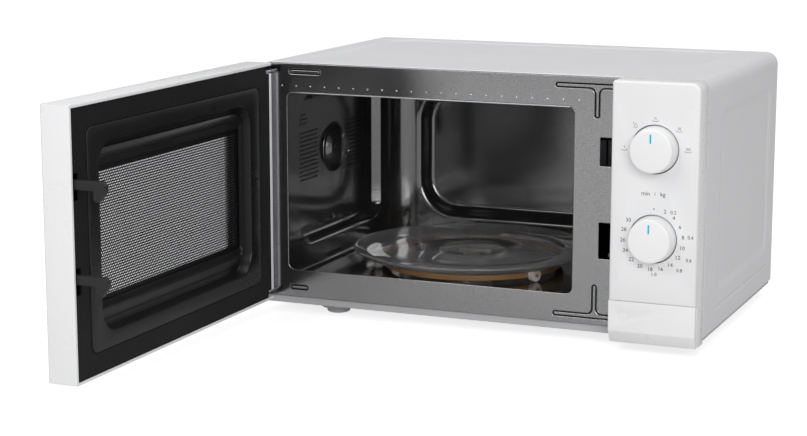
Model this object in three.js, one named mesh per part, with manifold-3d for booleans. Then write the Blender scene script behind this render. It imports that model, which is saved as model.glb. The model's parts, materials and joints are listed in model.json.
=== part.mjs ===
// A countertop microwave oven with a mechanical timer, drawn with its door standing open.
// Millimetres, +Z up. While modelling, x runs from the case's left side, y runs back from the
// front frame's face and z runs up from the lower edge of the case. The whole group is then
// shifted so that its origin lies under the centre of the finished object, on the table.
import * as THREE from "three";
import { mergeVertices } from "three/addons/utils/BufferGeometryUtils.js";
import Module from "manifold-3d";

const wasm = await Module();
wasm.setup();

// ---- driving dimensions ----
const gap = 0.3; // air left between two neighbouring pieces
const outerCase = { width: 452, height: 238.4, depth: 281, sheet: 1.2, corner: 12 };
const emboss = { depth: 1.4, slope: 9 }; // the pressed fields on the top and the sides
const base = { bottom: -4, sheet: 1.2, bossRadius: 22, bossBottom: -8.5 };
const foot = { radius: 12, bottom: -14, frontY: 27, rearY: 250, leftX: 71, rightX: 391 };
const frameBack = 1.2; // the front frame's sheet, measured back from its face
const mouth = { left: 28.7, right: 325.1, bottom: 30.8, top: 208.9 }; // the frame's opening
const cook = { left: 29, right: 326, floor: 22, roof: 212, back: 258, sheet: 1, corner: 34 };
const rearField = { left: 62, right: 292, bottom: 44, top: 192, depth: 13, corner: 42 };
const sideField = { front: 26, back: 238, bottom: 46, top: 203, depth: 9, corner: 30 };
const dome = { y: 127, z: 137, radius: 25, height: 12 };
const slotX = [350.5, 369]; // latch slots in the front frame
const slotZ = [[154.3, 181.2], [66.8, 101.2]];
const panel = { left: 370.4, right: 452, front: -30, bottom: -5, top: 238.4, wall: 2.4, corner: 8 };
const button = { top: 35.6, travel: 4.5, chamferTop: 6.9, chamferBack: -24, postX: 383, postZ: 21 };
// the panel's side walls start behind the pressed-in plate of the button
const sideWall = { front: panel.front + panel.wall + button.travel + 0.5, foot: -16.4 };
const knob = { x: 411, upperZ: 177.5, lowerZ: 95.5, face: 20, base: 21.6, front: -45, back: -19.5 };
const knobHole = 22.5;
const spindle = { radius: 3, front: -40.6, back: -8 };
const door = { left: 0.5, right: 368.9, bottom: 0.5, top: 237, front: -30, inner: -1, wall: 2.5 };
const pivot = { x: 7, y: -8, pin: 2.5, bore: 2.9 };
const openAngle = 90; // how far the door stands open here
const hingeArm = { upperZ: 227.6, lowerZ: 7.4, thick: 2, left: 2, right: 12, front: -13 };
const hingePocket = { right: 15, front: -16, upper: [226.6, 234.5], lower: [3, 10.4] };
const doorWindow = { left: 52, right: 322, bottom: 50, top: 188, corner: 10 };
const choke = { left: 31.4, right: 343.1, bottom: 22, top: 216, corner: 8 };
const well = { left: 50.2, right: 325.1, bottom: 36, top: 201, corner: 22, floor: -12.6 };
const screen = { left: 40, right: 335, bottom: 50, top: 188 };
const hook = { left: 358.5, right: 364.5, tip: 28, travel: 5, armHeight: 7.7, drop: 9.2 };
const hookArms = [167, 86.8]; // undersides of the two arms
const latchBar = { x: [357, 366], y: [-20, -9], z: [70, 186] };
const rib = { bottom: 205, top: 207.5 }; // the door shell's rib above the latch spring
const latchBoard = { x: [370.2, 372.2], y: [2, 44], z: [30, 202], shelfLeft: 350.2, shelf: 2.5 };
const controlWindow = { x: [376, 444], bottom: 12 }; // the frame is open behind the controls
const tray = { x: 177, y: 126, radius: 122.5, bottom: 35.1, rim: 44 };
const roller = { count: 3, ringRadius: 97, radius: 6.3, width: 7, pin: 1.5, bore: 1.8 };
const fan = { x: 389, z: 130, radius: 45, hub: 12, blades: 5, front: 238, back: 252 };
const facets = 28; // sides of a large circle

const colours = {
  whiteSteel: [0xd6d6d8, 0.35, 0.1], whitePlastic: [0xeeeef0, 0.3, 0], greySteel: [0x6d6d70, 0.45, 0.6],
  cavityGrey: [0x4c4b4b, 0.4, 0.4], blackPlastic: [0x1d1d1f, 0.6, 0], darkPlastic: [0x28282b, 0.4, 0],
  glass: [0x9aa0a4, 0.05, 0], tan: [0xaa7846, 0.5, 0], cream: [0xd8d2c4, 0.5, 0],
  zinc: [0xa9abae, 0.4, 0.9], copper: [0xa5642f, 0.35, 0.8], rubber: [0x303033, 0.8, 0],
  greyPlastic: [0xc4c5c8, 0.5, 0], mica: [0xb9a98c, 0.6, 0], board: [0x2f6b3c, 0.6, 0],
};

// ---- helpers ----
function solidOf(geometry) {
  const bare = geometry.index ? geometry.toNonIndexed() : geometry.clone();
  bare.deleteAttribute("normal");
  bare.deleteAttribute("uv");
  const merged = mergeVertices(bare, 1e-4);
  const points = merged.attributes.position.array;
  const faces = new Uint32Array(merged.index.array);
  const made = new wasm.Manifold(
    new wasm.Mesh({ numProp: 3, vertProperties: points, triVerts: faces }),
  );
  if (made.volume() > 0) return made;
  for (let i = 0; i < faces.length; i += 3) [faces[i + 1], faces[i + 2]] = [faces[i + 2], faces[i + 1]];
  return new wasm.Manifold(new wasm.Mesh({ numProp: 3, vertProperties: points, triVerts: faces }));
}

const join = (first, ...others) => others.reduce((sum, one) => sum.add(one), first);
const cut = (first, ...others) => others.reduce((rest, one) => rest.subtract(one), first);

function box([x0, x1], [y0, y1], [z0, z1]) {
  const geometry = new THREE.BoxGeometry(x1 - x0, y1 - y0, z1 - z0);
  return solidOf(geometry.translate((x0 + x1) / 2, (y0 + y1) / 2, (z0 + z1) / 2));
}

// A rounded rectangle; corner radii run anticlockwise from the low-u, low-v corner.
function roundedRect([u0, u1], [v0, v1], radii) {
  const [a, b, c, d] = Array.isArray(radii) ? radii : [radii, radii, radii, radii];
  const shape = new THREE.Shape();
  shape.moveTo(u0 + a, v0).lineTo(u1 - b, v0);
  if (b) shape.absarc(u1 - b, v0 + b, b, -Math.PI / 2, 0, false);
  shape.lineTo(u1, v1 - c);
  if (c) shape.absarc(u1 - c, v1 - c, c, 0, Math.PI / 2, false);
  shape.lineTo(u0 + d, v1);
  if (d) shape.absarc(u0 + d, v1 - d, d, Math.PI / 2, Math.PI, false);
  shape.lineTo(u0, v0 + a);
  if (a) shape.absarc(u0 + a, v0 + a, a, Math.PI, Math.PI * 1.5, false);
  return shape;
}

const outline = (points) => new THREE.Shape(points.map(([u, v]) => new THREE.Vector2(u, v)));

// Extrudes a shape between two levels of an axis: along x the shape is (y, z), along y it is (x, z).
function slab(shape, axis, [from, to], steps = 6) {
  const geometry = new THREE.ExtrudeGeometry(shape, {
    depth: to - from, bevelEnabled: false, curveSegments: steps,
  });
  if (axis === "z") return solidOf(geometry.translate(0, 0, from));
  if (axis === "y") return solidOf(geometry.rotateX(Math.PI / 2).translate(0, to, 0));
  const turn = new THREE.Matrix4().makeBasis(
    new THREE.Vector3(0, 1, 0), new THREE.Vector3(0, 0, 1), new THREE.Vector3(1, 0, 0),
  );
  return solidOf(geometry.applyMatrix4(turn).translate(from, 0, 0));
}

// A round rod along an axis, between two levels of it.
function rod(axis, [from, to], [p, q], radius, sides = 14, farRadius = radius) {
  const geometry = new THREE.CylinderGeometry(farRadius, radius, to - from, sides);
  geometry.translate(0, (from + to) / 2, 0);
  if (axis === "z") geometry.rotateX(Math.PI / 2).translate(p, q, 0);
  if (axis === "y") geometry.translate(p, 0, q);
  if (axis === "x") geometry.rotateZ(-Math.PI / 2).translate(0, p, q);
  return solidOf(geometry);
}

// A turned piece: the profile holds [radius, level] pairs.
function turned(profile, axis, [p, q], sides = facets) {
  const points = profile.map(([r, level]) => new THREE.Vector2(r, level));
  const geometry = new THREE.LatheGeometry(points, sides);
  if (axis === "z") geometry.rotateX(Math.PI / 2).translate(p, q, 0);
  if (axis === "y") geometry.translate(p, 0, q);
  return solidOf(geometry);
}

// A block whose far face is smaller than its near face all round, along x or z.
function taperedField(axis, [near, far], [u0, u1], [v0, v1], slope) {
  const place = axis === "z" ? (u, v, w) => [u, v, w] : (u, v, w) => [w, u, v];
  const loops = [[near, 0], [far, slope]].map(([w, s]) => [
    place(u0 + s, v0 + s, w), place(u1 - s, v0 + s, w), place(u1 - s, v1 - s, w), place(u0 + s, v1 - s, w),
  ]);
  const corners = [...loops[0], ...loops[1]].flat();
  const faces = [0, 2, 1, 0, 3, 2, 4, 5, 6, 4, 6, 7];
  for (let i = 0; i < 4; i++) {
    const j = (i + 1) % 4;
    faces.push(i, j, j + 4, i, j + 4, i + 4);
  }
  const geometry = new THREE.BufferGeometry();
  geometry.setAttribute("position", new THREE.Float32BufferAttribute(corners, 3));
  geometry.setIndex(faces);
  return solidOf(geometry);
}

const oven = new THREE.Group();
const doorGroup = new THREE.Group(); // turns about the hinge pins
oven.add(doorGroup);

function piece(name, solid, colour, parent = oven) {
  const [tint, roughness, metalness] = colours[colour];
  const made = solid.getMesh();
  const geometry = new THREE.BufferGeometry();
  geometry.setAttribute("position", new THREE.BufferAttribute(made.vertProperties, 3));
  geometry.setIndex(new THREE.BufferAttribute(made.triVerts, 1));
  geometry.computeVertexNormals();
  const mesh = new THREE.Mesh(
    geometry, new THREE.MeshStandardMaterial({ color: tint, roughness, metalness }),
  );
  mesh.name = name;
  parent.add(mesh);
}

// ---- outer wrap, with shallow pressed fields on its top and sides ----
function makeOuterCase() {
  const { width, height, depth, sheet, corner } = outerCase;
  const shell = (inset, radius, from) =>
    slab(roundedRect([inset, width - inset], [-30, height - inset], [0, 0, radius, radius]),
      "y", [from, depth + 1]);
  const skin = cut(shell(0, corner, 0), shell(sheet, corner - sheet, -1),
    box([-1, width + 1], [-1, depth + 5], [-40, 0]),
    box([-1, width + 1], [depth, depth + 5], [-1, height + 1]));
  const topField = [[28, width - 40], [62, depth - 14]];
  const sideFieldYZ = [[48, depth - 26], [33, 208]];
  const press = (axis, level, inward, [u, v]) => {
    const near = level - inward * 0.5;
    const bump = taperedField(axis, [level + inward * (sheet - 0.2), level + inward * (sheet + emboss.depth)],
      u.map((e, i) => e + (i ? 0.4 : -0.4)), v.map((e, i) => e + (i ? 0.4 : -0.4)), emboss.slope);
    return [bump, taperedField(axis, [near, level + inward * emboss.depth], u, v, emboss.slope)];
  };
  const fields = [
    press("z", height, -1, topField), press("x", 0, 1, sideFieldYZ), press("x", width, -1, sideFieldYZ),
  ];
  return cut(join(skin, ...fields.map(([bump]) => bump)), ...fields.map(([, hollow]) => hollow));
}
piece("outer_case", makeOuterCase(), "whiteSteel");

const insideX = [outerCase.sheet + gap, outerCase.width - outerCase.sheet - gap];

// ---- back plate with its air grille ----
function makeBackPanel() {
  const top = outerCase.height - outerCase.sheet - gap;
  const plateY = [outerCase.depth - 1.6, outerCase.depth - 0.4];
  const plate = slab(roundedRect(insideX, [0.4, top], [0, 0, 10, 10]), "y", plateY);
  const slots = [];
  for (let row = 0; row < 7; row++) {
    const z = fan.z - 36 + row * 12;
    slots.push(box([fan.x - 38, fan.x + 38], [plateY[0] - 1, plateY[1] + 1], [z - 2.5, z + 2.5]));
  }
  return cut(plate, ...slots, rod("y", [plateY[0] - 1, plateY[1] + 1], [425, 38], 7.3));
}
piece("back_panel", makeBackPanel(), "zinc");

// ---- base tray: bosses carry the feet ----
const footPlaces = {
  front_left: [foot.leftX, foot.frontY], front_right: [foot.rightX, foot.frontY],
  rear_left: [foot.leftX, foot.rearY], rear_right: [foot.rightX, foot.rearY],
};
function makeBasePlate() {
  const { bottom, sheet } = base;
  const y = [frameBack + gap, outerCase.depth - 2.4];
  const block = box(insideX, y, [bottom, 6.8]);
  const within = ([low, high]) => [low + sheet, high - sheet];
  const inside = box(within(insideX), within(y), [bottom + sheet, 9]);
  const boss = ([x, yy], radius, low) =>
    cut(rod("z", [low, bottom + 0.1], [x, yy], radius - 5, 12, radius),
      rod("z", [low + sheet, bottom + sheet], [x, yy], radius - 6.2, 12, radius - 1.2));
  const open = Object.values(footPlaces).map(([x, yy]) =>
    rod("z", [bottom - 0.1, bottom + sheet + 0.1], [x, yy], base.bossRadius - 1.4, 12));
  const bosses = Object.values(footPlaces).map((at) => boss(at, base.bossRadius, base.bossBottom));
  return join(cut(block, inside, ...open), ...bosses);
}
piece("base_plate", makeBasePlate(), "zinc");

for (const [where, at] of Object.entries(footPlaces))
  piece(`foot_${where}`, rod("z", [foot.bottom, base.bossBottom - gap], at, foot.radius, 14, foot.radius - 1),
    where === "front_left" ? "greyPlastic" : "rubber");

// ---- front frame: five strips round the cavity mouth and the window behind the controls ----
function makeFrontFrame() {
  const top = outerCase.height - outerCase.sheet - gap;
  const sheet = [0, frameBack];
  const through = [-1, 3];
  const uprightZ = [mouth.bottom + gap, mouth.top - gap];
  const hingeSlot = (z) =>
    box([hingeArm.left - 0.4, hingeArm.right + 0.4], through, [z - 0.4, z + hingeArm.thick + 0.4]);
  const upperRail = slab(roundedRect(insideX, [mouth.top, top], [0, 0, 10, 10]), "y", sheet);
  const leverNotch = box(controlWindow.x, through, [controlWindow.bottom, mouth.top]);
  const latchSlots = slotZ.map((z) => box(slotX, through, z));
  return {
    top: cut(upperRail, hingeSlot(hingeArm.upperZ)),
    bottom: cut(box(insideX, sheet, [3, mouth.bottom]), hingeSlot(hingeArm.lowerZ), leverNotch),
    left: box([insideX[0], mouth.left], sheet, uprightZ),
    latch: cut(box([mouth.right, controlWindow.x[0]], sheet, uprightZ), ...latchSlots),
    right: box([controlWindow.x[1], insideX[1]], sheet, uprightZ),
  };
}
for (const [where, strip] of Object.entries(makeFrontFrame()))
  piece(`front_frame_${where}`, strip, "greySteel");

// ---- cooking cavity ----
function cavityVolume(grow, front) {
  const y1 = cook.back + grow;
  const plan = roundedRect([cook.left - grow, cook.right + grow], [front, y1],
    [0, 0, cook.corner + grow, cook.corner + grow]);
  const main = slab(plan, "z", [cook.floor - grow, cook.roof + grow], 5);
  const f = rearField;
  const rear = slab(roundedRect([f.left - grow, f.right + grow], [f.bottom - grow, f.top + grow],
    f.corner + grow), "y", [y1 - 2, cook.back + f.depth + grow], 5);
  const s = sideField;
  const side = slab(roundedRect([s.front - grow, s.back + grow], [s.bottom - grow, s.top + grow],
    s.corner + grow), "x", [cook.left - s.depth - grow, cook.left - grow + 2], 4);
  return join(main, rear, side);
}
function makeCavity() {
  const shell = cut(cavityVolume(cook.sheet, 1.5), cavityVolume(0, 0.5));
  const wall = cook.left - sideField.depth;
  const domeAt = (radius, from) => turnedDome(radius, from, dome.height);
  const bump = domeAt(dome.radius, wall - 0.2);
  const hollow = domeAt(dome.radius - 1, wall - 1.4);
  const shaftHole = rod("z", [cook.floor - 2, cook.floor + 1], [tray.x, tray.y], 7);
  const waveHole = box([cook.right - 1, cook.right + 2], [112, 152], [118, 152]);
  const lampHole = rod("x", [cook.right - 1, cook.right + 2], [205, 190], 7);
  return cut(join(shell, bump), hollow, shaftHole, waveHole, lampHole);
}
function turnedDome(radius, from, height) {
  return rod("x", [from, from + height], [dome.y, dome.z], radius, 16, radius * 0.72);
}
piece("cavity", makeCavity(), "cavityGrey");
piece("waveguide_cover", box([cook.right - 1.1, cook.right - gap], [102, 162], [108, 162]), "mica");

// ---- microwave source ----
function makeWaveguide() {
  const x = [cook.right + cook.sheet + gap, 352];
  const outer = box(x, [100, 200], [108, 164]);
  const inner = box([x[0] - 1, x[1] - 1.2], [101.2, 198.8], [109.2, 162.8]);
  return cut(outer, inner, rod("x", [x[1] - 2, x[1] + 1], [172, 136], 9));
}
piece("waveguide", makeWaveguide(), "zinc");
function makeMagnetron() {
  const yoke = box([353, 405], [146, 198], [108, 164]);
  const fins = [];
  for (let i = 0; i < 5; i++) fins.push(box([360 + i * 8, 364 + i * 8], [140, 204], [114, 158]));
  return join(yoke, ...fins, rod("x", [334, 354], [172, 136], 7.5), box([404, 418], [160, 184], [122, 150]));
}
piece("magnetron", makeMagnetron(), "zinc");

// ---- high-voltage supply on the base ----
const supplyFloor = base.bottom + base.sheet + gap;
piece("transformer_core",
  cut(box([345, 431], [66, 134], [supplyFloor, 70]), box([361, 382], [60, 140], [16, 56]),
    box([394, 415], [60, 140], [16, 56])), "zinc");
piece("transformer_winding",
  cut(box([362, 414], [54, 146], [17, 55]), box([381.6, 394.4], [65.7, 134.3], [10, 60])), "copper");
piece("capacitor", slab(roundedRect([340, 372], [158, 208], 15), "z", [supplyFloor, 84]), "zinc");
piece("filter_board", box([396, 444], [50, 120], [207, 209]), "board");

// ---- cooling fan ----
const fanHubY = (fan.front + fan.back) / 2;
piece("fan_bracket",
  cut(box([334, 446], [230, 232], [72, 188]), rod("y", [229, 233], [fan.x, fan.z], fan.radius + 4, facets),
    box([376, 402], [229, 233], [60, 90])), "zinc");
piece("fan_motor",
  join(rod("y", [206, 229], [fan.x, fan.z], 20, 24), rod("y", [229, 236], [fan.x, fan.z], 2.5, 12)), "zinc");
function makeFanBlade() {
  const hub = cut(rod("y", [fan.front, fan.back], [fan.x, fan.z], fan.hub, 24),
    rod("y", [fan.front - 1, fan.front + 8], [fan.x, fan.z], 3, 12));
  const blades = [];
  for (let i = 0; i < fan.blades; i++) {
    const geometry = new THREE.BoxGeometry(fan.radius - fan.hub + 2, 1.4, 22);
    geometry.rotateX(THREE.MathUtils.degToRad(32)).translate((fan.radius + fan.hub - 2) / 2, 0, 0);
    geometry.rotateY((i / fan.blades) * Math.PI * 2).translate(fan.x, fanHubY, fan.z);
    blades.push(solidOf(geometry));
  }
  return join(hub, ...blades);
}
piece("fan_blade", makeFanBlade(), "cream");

// ---- cavity lamp ----
piece("lamp_holder",
  cut(box([328, 362], [190, 220], [176, 204]), rod("x", [327, 357], [205, 190], 11, 14)), "cream");
piece("lamp_bulb", rod("x", [331, 356], [205, 190], 9.5, 14, 6), "glass");
piece("lamp_socket_screw", rod("x", [362.3, 368], [205, 190], 5, 12), "zinc");

// ---- latch board with its safety switches ----
const leverPivot = { y: 8.5, z: 40, pin: 3 };
function makeLatchBoard() {
  const { x, y, z, shelfLeft, shelf } = latchBoard;
  const fingerHole = box([x[0] - 1, x[1] + 1], [10, 38], [59.5, 80]);
  const ledge = (low) => box([shelfLeft, x[0] + 0.5], [y[0], y[1] - 2], [low, low + shelf]);
  const ledges = slotZ.flatMap(([low, high]) => [ledge(low - 11), ledge(high + 3)]);
  const pin = rod("x", [x[0] + 1, 388], [leverPivot.y, leverPivot.z], leverPivot.pin);
  return join(cut(box(x, y, z), fingerHole), ...ledges, pin);
}
piece("latch_board", makeLatchBoard(), "cream");
const switchX = [latchBoard.x[1] + gap, latchBoard.x[1] + gap + 6.5];
for (const [name, z] of [["primary_switch", 160], ["secondary_switch", 120], ["monitor_switch", 84]])
  piece(name, join(box(switchX, [10, 38], [z, z + 16]),
    box([switchX[0] + 1.7, switchX[0] + 4.7], [7, 11], [z + 4, z + 7])), "blackPlastic");

// ---- release lever: the button pushes its foot, its finger lifts the lower hook ----
function makeReleaseLever() {
  const arm = slab(outline([
    [-2, 16], [2.5, 16], [10, 33], [15, 40], [31, 62], [31, 68], [25, 68], [3.5, 46], [2.5, 32],
  ]), "x", [381, 385]);
  return cut(join(arm, rod("x", [352, 382], [28, 65], 2, 10)),
    rod("x", [380, 386], [leverPivot.y, leverPivot.z], leverPivot.pin + gap));
}
piece("release_lever", makeReleaseLever(), "cream");
piece("lever_spring",
  cut(rod("x", [373, 380], [leverPivot.y, leverPivot.z], 5.4, 16),
    rod("x", [372, 381], [leverPivot.y, leverPivot.z], leverPivot.pin + 0.4)), "zinc");

// ---- control panel, timer, power selector, knobs and door button ----
const panelSide = (from, to) =>
  slab(outline([[panel.front, button.chamferTop], [panel.front, panel.top], [-gap, panel.top],
    [-gap, panel.bottom], [button.chamferBack, panel.bottom]]), "x", [from, to]);
function makeControlPanel() {
  const { left, right, front, top, wall, corner, bottom } = panel;
  const bayTop = button.top + 0.4;
  const body = slab(roundedRect([left, right], [bottom - 20, top], [0, 0, corner, 1]), "y", [front, -gap]);
  const block = panelSide(left - 1, right + 1).intersect(body);
  const hollow = slab(
    roundedRect([left + wall, right - wall], [bottom - 30, top - wall], [0, 0, corner - wall, 0]),
    "y", [front + wall, 1]);
  const holes = [knob.upperZ, knob.lowerZ].map((z) =>
    rod("y", [front - 1, front + 4], [knob.x, z], knobHole, facets));
  const buttonBay = box([left + wall, right - wall], [front - 1, front + 4], [bottom - 2, bayTop]);
  const nose = outline([
    [front - 1, bayTop], [sideWall.front, bayTop], [sideWall.front, button.chamferTop],
    [sideWall.foot, bottom], [sideWall.foot, bottom - 2], [front - 1, bottom - 2],
  ]);
  const sides = [[left - 1, left + wall + 0.1], [right - wall - 0.1, right + 1]];
  const noses = sides.map((x) => slab(nose, "x", x));
  const posts = [knob.upperZ, knob.lowerZ].flatMap((z) => [-21, 21].flatMap((dx) => [-22, 22].map((dz) =>
    rod("y", [front + wall - 0.1, -16 - gap], [knob.x + dx, z + dz], 2.5, 8))));
  const shelf = box([left + wall - 0.1, right - wall + 0.1], [front + 1, -6], [bayTop, bayTop + 2]);
  return join(cut(block, hollow, ...holes, buttonBay, ...noses), ...posts, shelf);
}
piece("control_panel", makeControlPanel(), "whitePlastic");

const spindleBore = (z) => rod("y", [-17, spindle.back + 2], [knob.x, z], spindle.radius + gap);
const timerCase = join(box([387, 435], [-16, -2], [68.5, 122.5]), box([389, 433], [-2.5, 22], [71, 120]));
piece("timer_unit", cut(timerCase, spindleBore(knob.lowerZ)), "cream");
piece("power_selector", cut(join(box([387, 435], [-16, -12], [150.5, 204.5]),
  rod("y", [-12.1, 10], [knob.x, knob.upperZ], 20, 24)), spindleBore(knob.upperZ)), "cream");
for (const [name, z] of [["power", knob.upperZ], ["timer", knob.lowerZ]]) {
  const { front, back, face } = knob;
  piece(`${name}_knob`, turned([
    [0, front], [face - 1.5, front], [face, front + 1.5], [knob.base, panel.front], [knob.base, back],
    [knob.base - 2.2, back], [knob.base - 2.2, front + 3], [7, front + 3], [7, back - 3],
    [spindle.radius + 0.2, back - 3], [spindle.radius + 0.2, spindle.front - 0.2], [0, spindle.front - 0.2],
  ], "y", [knob.x, z]), "whitePlastic");
  piece(`${name}_spindle`, rod("y", [spindle.front, spindle.back], [knob.x, z], spindle.radius), "zinc");
}

function makeDoorButton() {
  const { wall, left, right, front, bottom } = panel;
  const x = [left + wall + gap, right - wall - gap];
  const profile = slab(outline([[front, button.chamferTop], [front, button.top], [-14, button.top],
    [-14, bottom + 0.3], [button.chamferBack, bottom + 0.3]]), "x", x);
  const hollow = slab(outline([[front + wall, button.chamferTop + 1], [front + wall, button.top - wall],
    [-10, button.top - wall], [-10, bottom + 0.3 + wall], [button.chamferBack + 1.6, bottom + 0.3 + wall]]),
  "x", [x[0] + wall, x[1] - wall]);
  const plate = slab(outline([[front, button.chamferTop], [front, button.top], [front + wall, button.top],
    [front + wall, button.chamferTop + 0.4], [button.chamferBack + wall, bottom + 0.3],
    [button.chamferBack, bottom + 0.3]]), "x", [left, right]);
  const { postX, postZ } = button;
  const post = box([postX - 3, postX + 3], [front + 1, -2.8], [postZ - 3, postZ + 3]);
  return join(cut(profile, hollow), plate, post);
}
piece("door_button", makeDoorButton(), "whitePlastic");

// ---- turntable ----
const trayAt = [tray.x, tray.y];
piece("turntable_motor",
  join(rod("z", [4, 19], trayAt, 24, 20), rod("z", [18.9, 27.5], trayAt, 3.5, 12)), "zinc");
function makeCoupler() {
  const lobes = [];
  for (let i = 0; i < 3; i++) {
    const geometry = new THREE.BoxGeometry(15, 7, 6.4);
    geometry.translate(11.5, 0, 31.4).rotateZ((i / 3) * Math.PI * 2 + Math.PI / 6);
    geometry.translate(tray.x, tray.y, 0);
    lobes.push(solidOf(geometry));
  }
  return cut(join(rod("z", [24, 34.6], [tray.x, tray.y], 8, 14), ...lobes),
    rod("z", [23, 28.5], [tray.x, tray.y], 3.8, 12));
}
piece("drive_coupler", makeCoupler(), "cream");
function makeTray() {
  const { bottom, rim, radius } = tray;
  return turned([
    [0, bottom], [radius - 13, bottom], [radius - 2, rim - 2.4], [radius, rim - 0.8], [radius - 0.6, rim],
    [radius - 3.4, rim - 0.4], [radius - 14.5, bottom + 4], [0, bottom + 4],
  ], "z", [tray.x, tray.y], 36);
}
piece("glass_tray", makeTray(), "glass");

const rollerZ = cook.floor + 0.2 + roller.radius;
function makeRollerRing() {
  const { ringRadius, width, pin } = roller;
  const inner = ringRadius - width / 2 - 9;
  const outer = ringRadius - width / 2 - 1;
  const ring = cut(rod("z", [rollerZ - 2.6, rollerZ + 2.6], [tray.x, tray.y], outer, 36),
    rod("z", [rollerZ - 4, rollerZ + 4], [tray.x, tray.y], inner, 36));
  const pinSpan = [outer - 2, ringRadius + width / 2 + 2];
  const pins = [];
  for (let i = 0; i < roller.count; i++) pins.push(radial(rodAlongX(pinSpan, pin, 8), i));
  return join(ring, ...pins);
}
function rodAlongX([from, to], radius, sides) {
  return new THREE.CylinderGeometry(radius, radius, to - from, sides)
    .rotateZ(-Math.PI / 2).translate((from + to) / 2, 0, rollerZ);
}
const rollerAngle = (i) => (i / roller.count) * Math.PI * 2 + Math.PI / 2;
function radial(geometry, i) {
  return solidOf(geometry.rotateZ(rollerAngle(i)).translate(tray.x, tray.y, 0));
}
piece("roller_ring", makeRollerRing(), "tan");
for (let i = 0; i < roller.count; i++) {
  const span = [roller.ringRadius - roller.width / 2, roller.ringRadius + roller.width / 2];
  piece(`roller_${i + 1}`, cut(radial(rodAlongX(span, roller.radius, 14), i),
    radial(rodAlongX([span[0] - 1, span[1] + 1], roller.bore, 8), i)), "cream");
}

// ---- hinges: a tab behind the frame, an arm through it and an upright pin ----
function makeHinge(z, pinZ, tabZ) {
  const arm = slab(roundedRect([hingeArm.left, hingeArm.right], [hingeArm.front, 3.1], [4, 4, 0, 0]),
    "z", [z, z + hingeArm.thick], 4);
  return join(arm, box([hingeArm.left + 1, 26], [1.5, 3.1], tabZ),
    rod("z", pinZ, [pivot.x, pivot.y], pivot.pin, 14));
}
piece("upper_hinge", makeHinge(hingeArm.upperZ, [213.5, hingeArm.upperZ + 0.5], [212, 229.6]), "zinc");
piece("lower_hinge", makeHinge(hingeArm.lowerZ, [hingeArm.lowerZ + 1.5, 23.9], [7.4, 20]), "zinc");

// ---- cord gland in the back plate ----
piece("cord_gland", join(rod("y", [outerCase.depth - 8, outerCase.depth + 3], [425, 38], 6.5, 14),
  rod("y", [outerCase.depth, outerCase.depth + 3], [425, 38], 9, 14)), "blackPlastic");

// ---- door, drawn closed in its own group ----
const pockets = ["upper", "lower"].map((end) =>
  box([-5, hingePocket.right], [hingePocket.front, 6], hingePocket[end]));
function makeDoorShell() {
  const { left, right, bottom, top, front, inner, wall } = door;
  const plan = outline([[left, front + 2], [left + 2, front], [right - 2, front], [right, front + 2],
    [right, inner], [left + 3.2, inner], [left, inner - 3.2]]);
  const body = slab(plan, "z", [bottom, top]);
  const backFill = [front + wall + 0.1, inner + 1];
  const hollow = box([left + wall, right - wall], backFill, [bottom + wall, top - wall]);
  const rim = box([left + wall - 0.1, 8], [-3.4, inner], [bottom + wall - 0.1, top - wall + 0.1]);
  const bearing = ([z0, z1]) => cut(box([left + wall - 0.1, 16.5], [-16, -3.9], [z0, z1]),
    rod("z", [z0 - 1, z1 + 1], [pivot.x, pivot.y], pivot.bore, 14));
  const springRib = box([349, right - wall + 0.1], [front + wall, -7], [rib.bottom, rib.top]);
  const opening = slab(roundedRect([doorWindow.left, doorWindow.right], [doorWindow.bottom, doorWindow.top],
    doorWindow.corner), "y", [front - 1, front + 4]);
  const bearings = [bearing([211.5, 226.3]), bearing([10.6, 25.9])];
  const shell = join(cut(body, hollow), rim.intersect(body), ...bearings, springRib);
  return cut(shell, opening, ...pockets, rod("z", [211, 227], [pivot.x, pivot.y], pivot.bore, 14),
    rod("z", [10, 26], [pivot.x, pivot.y], pivot.bore, 14));
}
piece("door_shell", makeDoorShell(), "whitePlastic", doorGroup);
piece("door_window", slab(roundedRect([doorWindow.left - 6, doorWindow.right + 6],
  [doorWindow.bottom - 6, doorWindow.top + 6], doorWindow.corner), "y", [-27.1, -24.1]), "glass", doorGroup);

function makeDoorFrame() {
  const x = [19, 346];
  const z = [14, 224];
  const pan = cut(box(x, [-16, -5], z), box([x[0] + 1, x[1] - 1], [-15, -4], [z[0] + 1, z[1] - 1]));
  return cut(pan, box([screen.left + 8, screen.right - 8], [-17, -14], [screen.bottom + 8, screen.top - 8]));
}
piece("door_frame", makeDoorFrame(), "darkPlastic", doorGroup);
piece("door_screen", box([screen.left, screen.right], [-14.7, -13.9], [screen.bottom, screen.top]),
  "blackPlastic", doorGroup);

const ringOf = (outer, inner, levels, steps) => cut(
  slab(roundedRect([outer.left, outer.right], [outer.bottom, outer.top], outer.corner), "y", levels, steps),
  slab(roundedRect([inner.left, inner.right], [inner.bottom, inner.top], inner.corner), "y",
    [levels[0] - 1, levels[1] + 1], steps));
const grown = (rect, by) => ({
  left: rect.left - by, right: rect.right + by, bottom: rect.bottom - by, top: rect.top + by,
  corner: rect.corner + by,
});
function makeChokeCover() {
  const lip = ringOf(choke, well, [-3.2, -0.9], 3);
  const wall = ringOf(grown(well, 1.8), well, [well.floor, -2], 3);
  const ledge = ringOf(grown(well, 0.5), { left: 54, right: 321, bottom: 60, top: 178, corner: 3 },
    [well.floor, well.floor + 1.4], 3);
  return join(lip, wall, ledge);
}
piece("choke_cover", makeChokeCover(), "darkPlastic", doorGroup);

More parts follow.
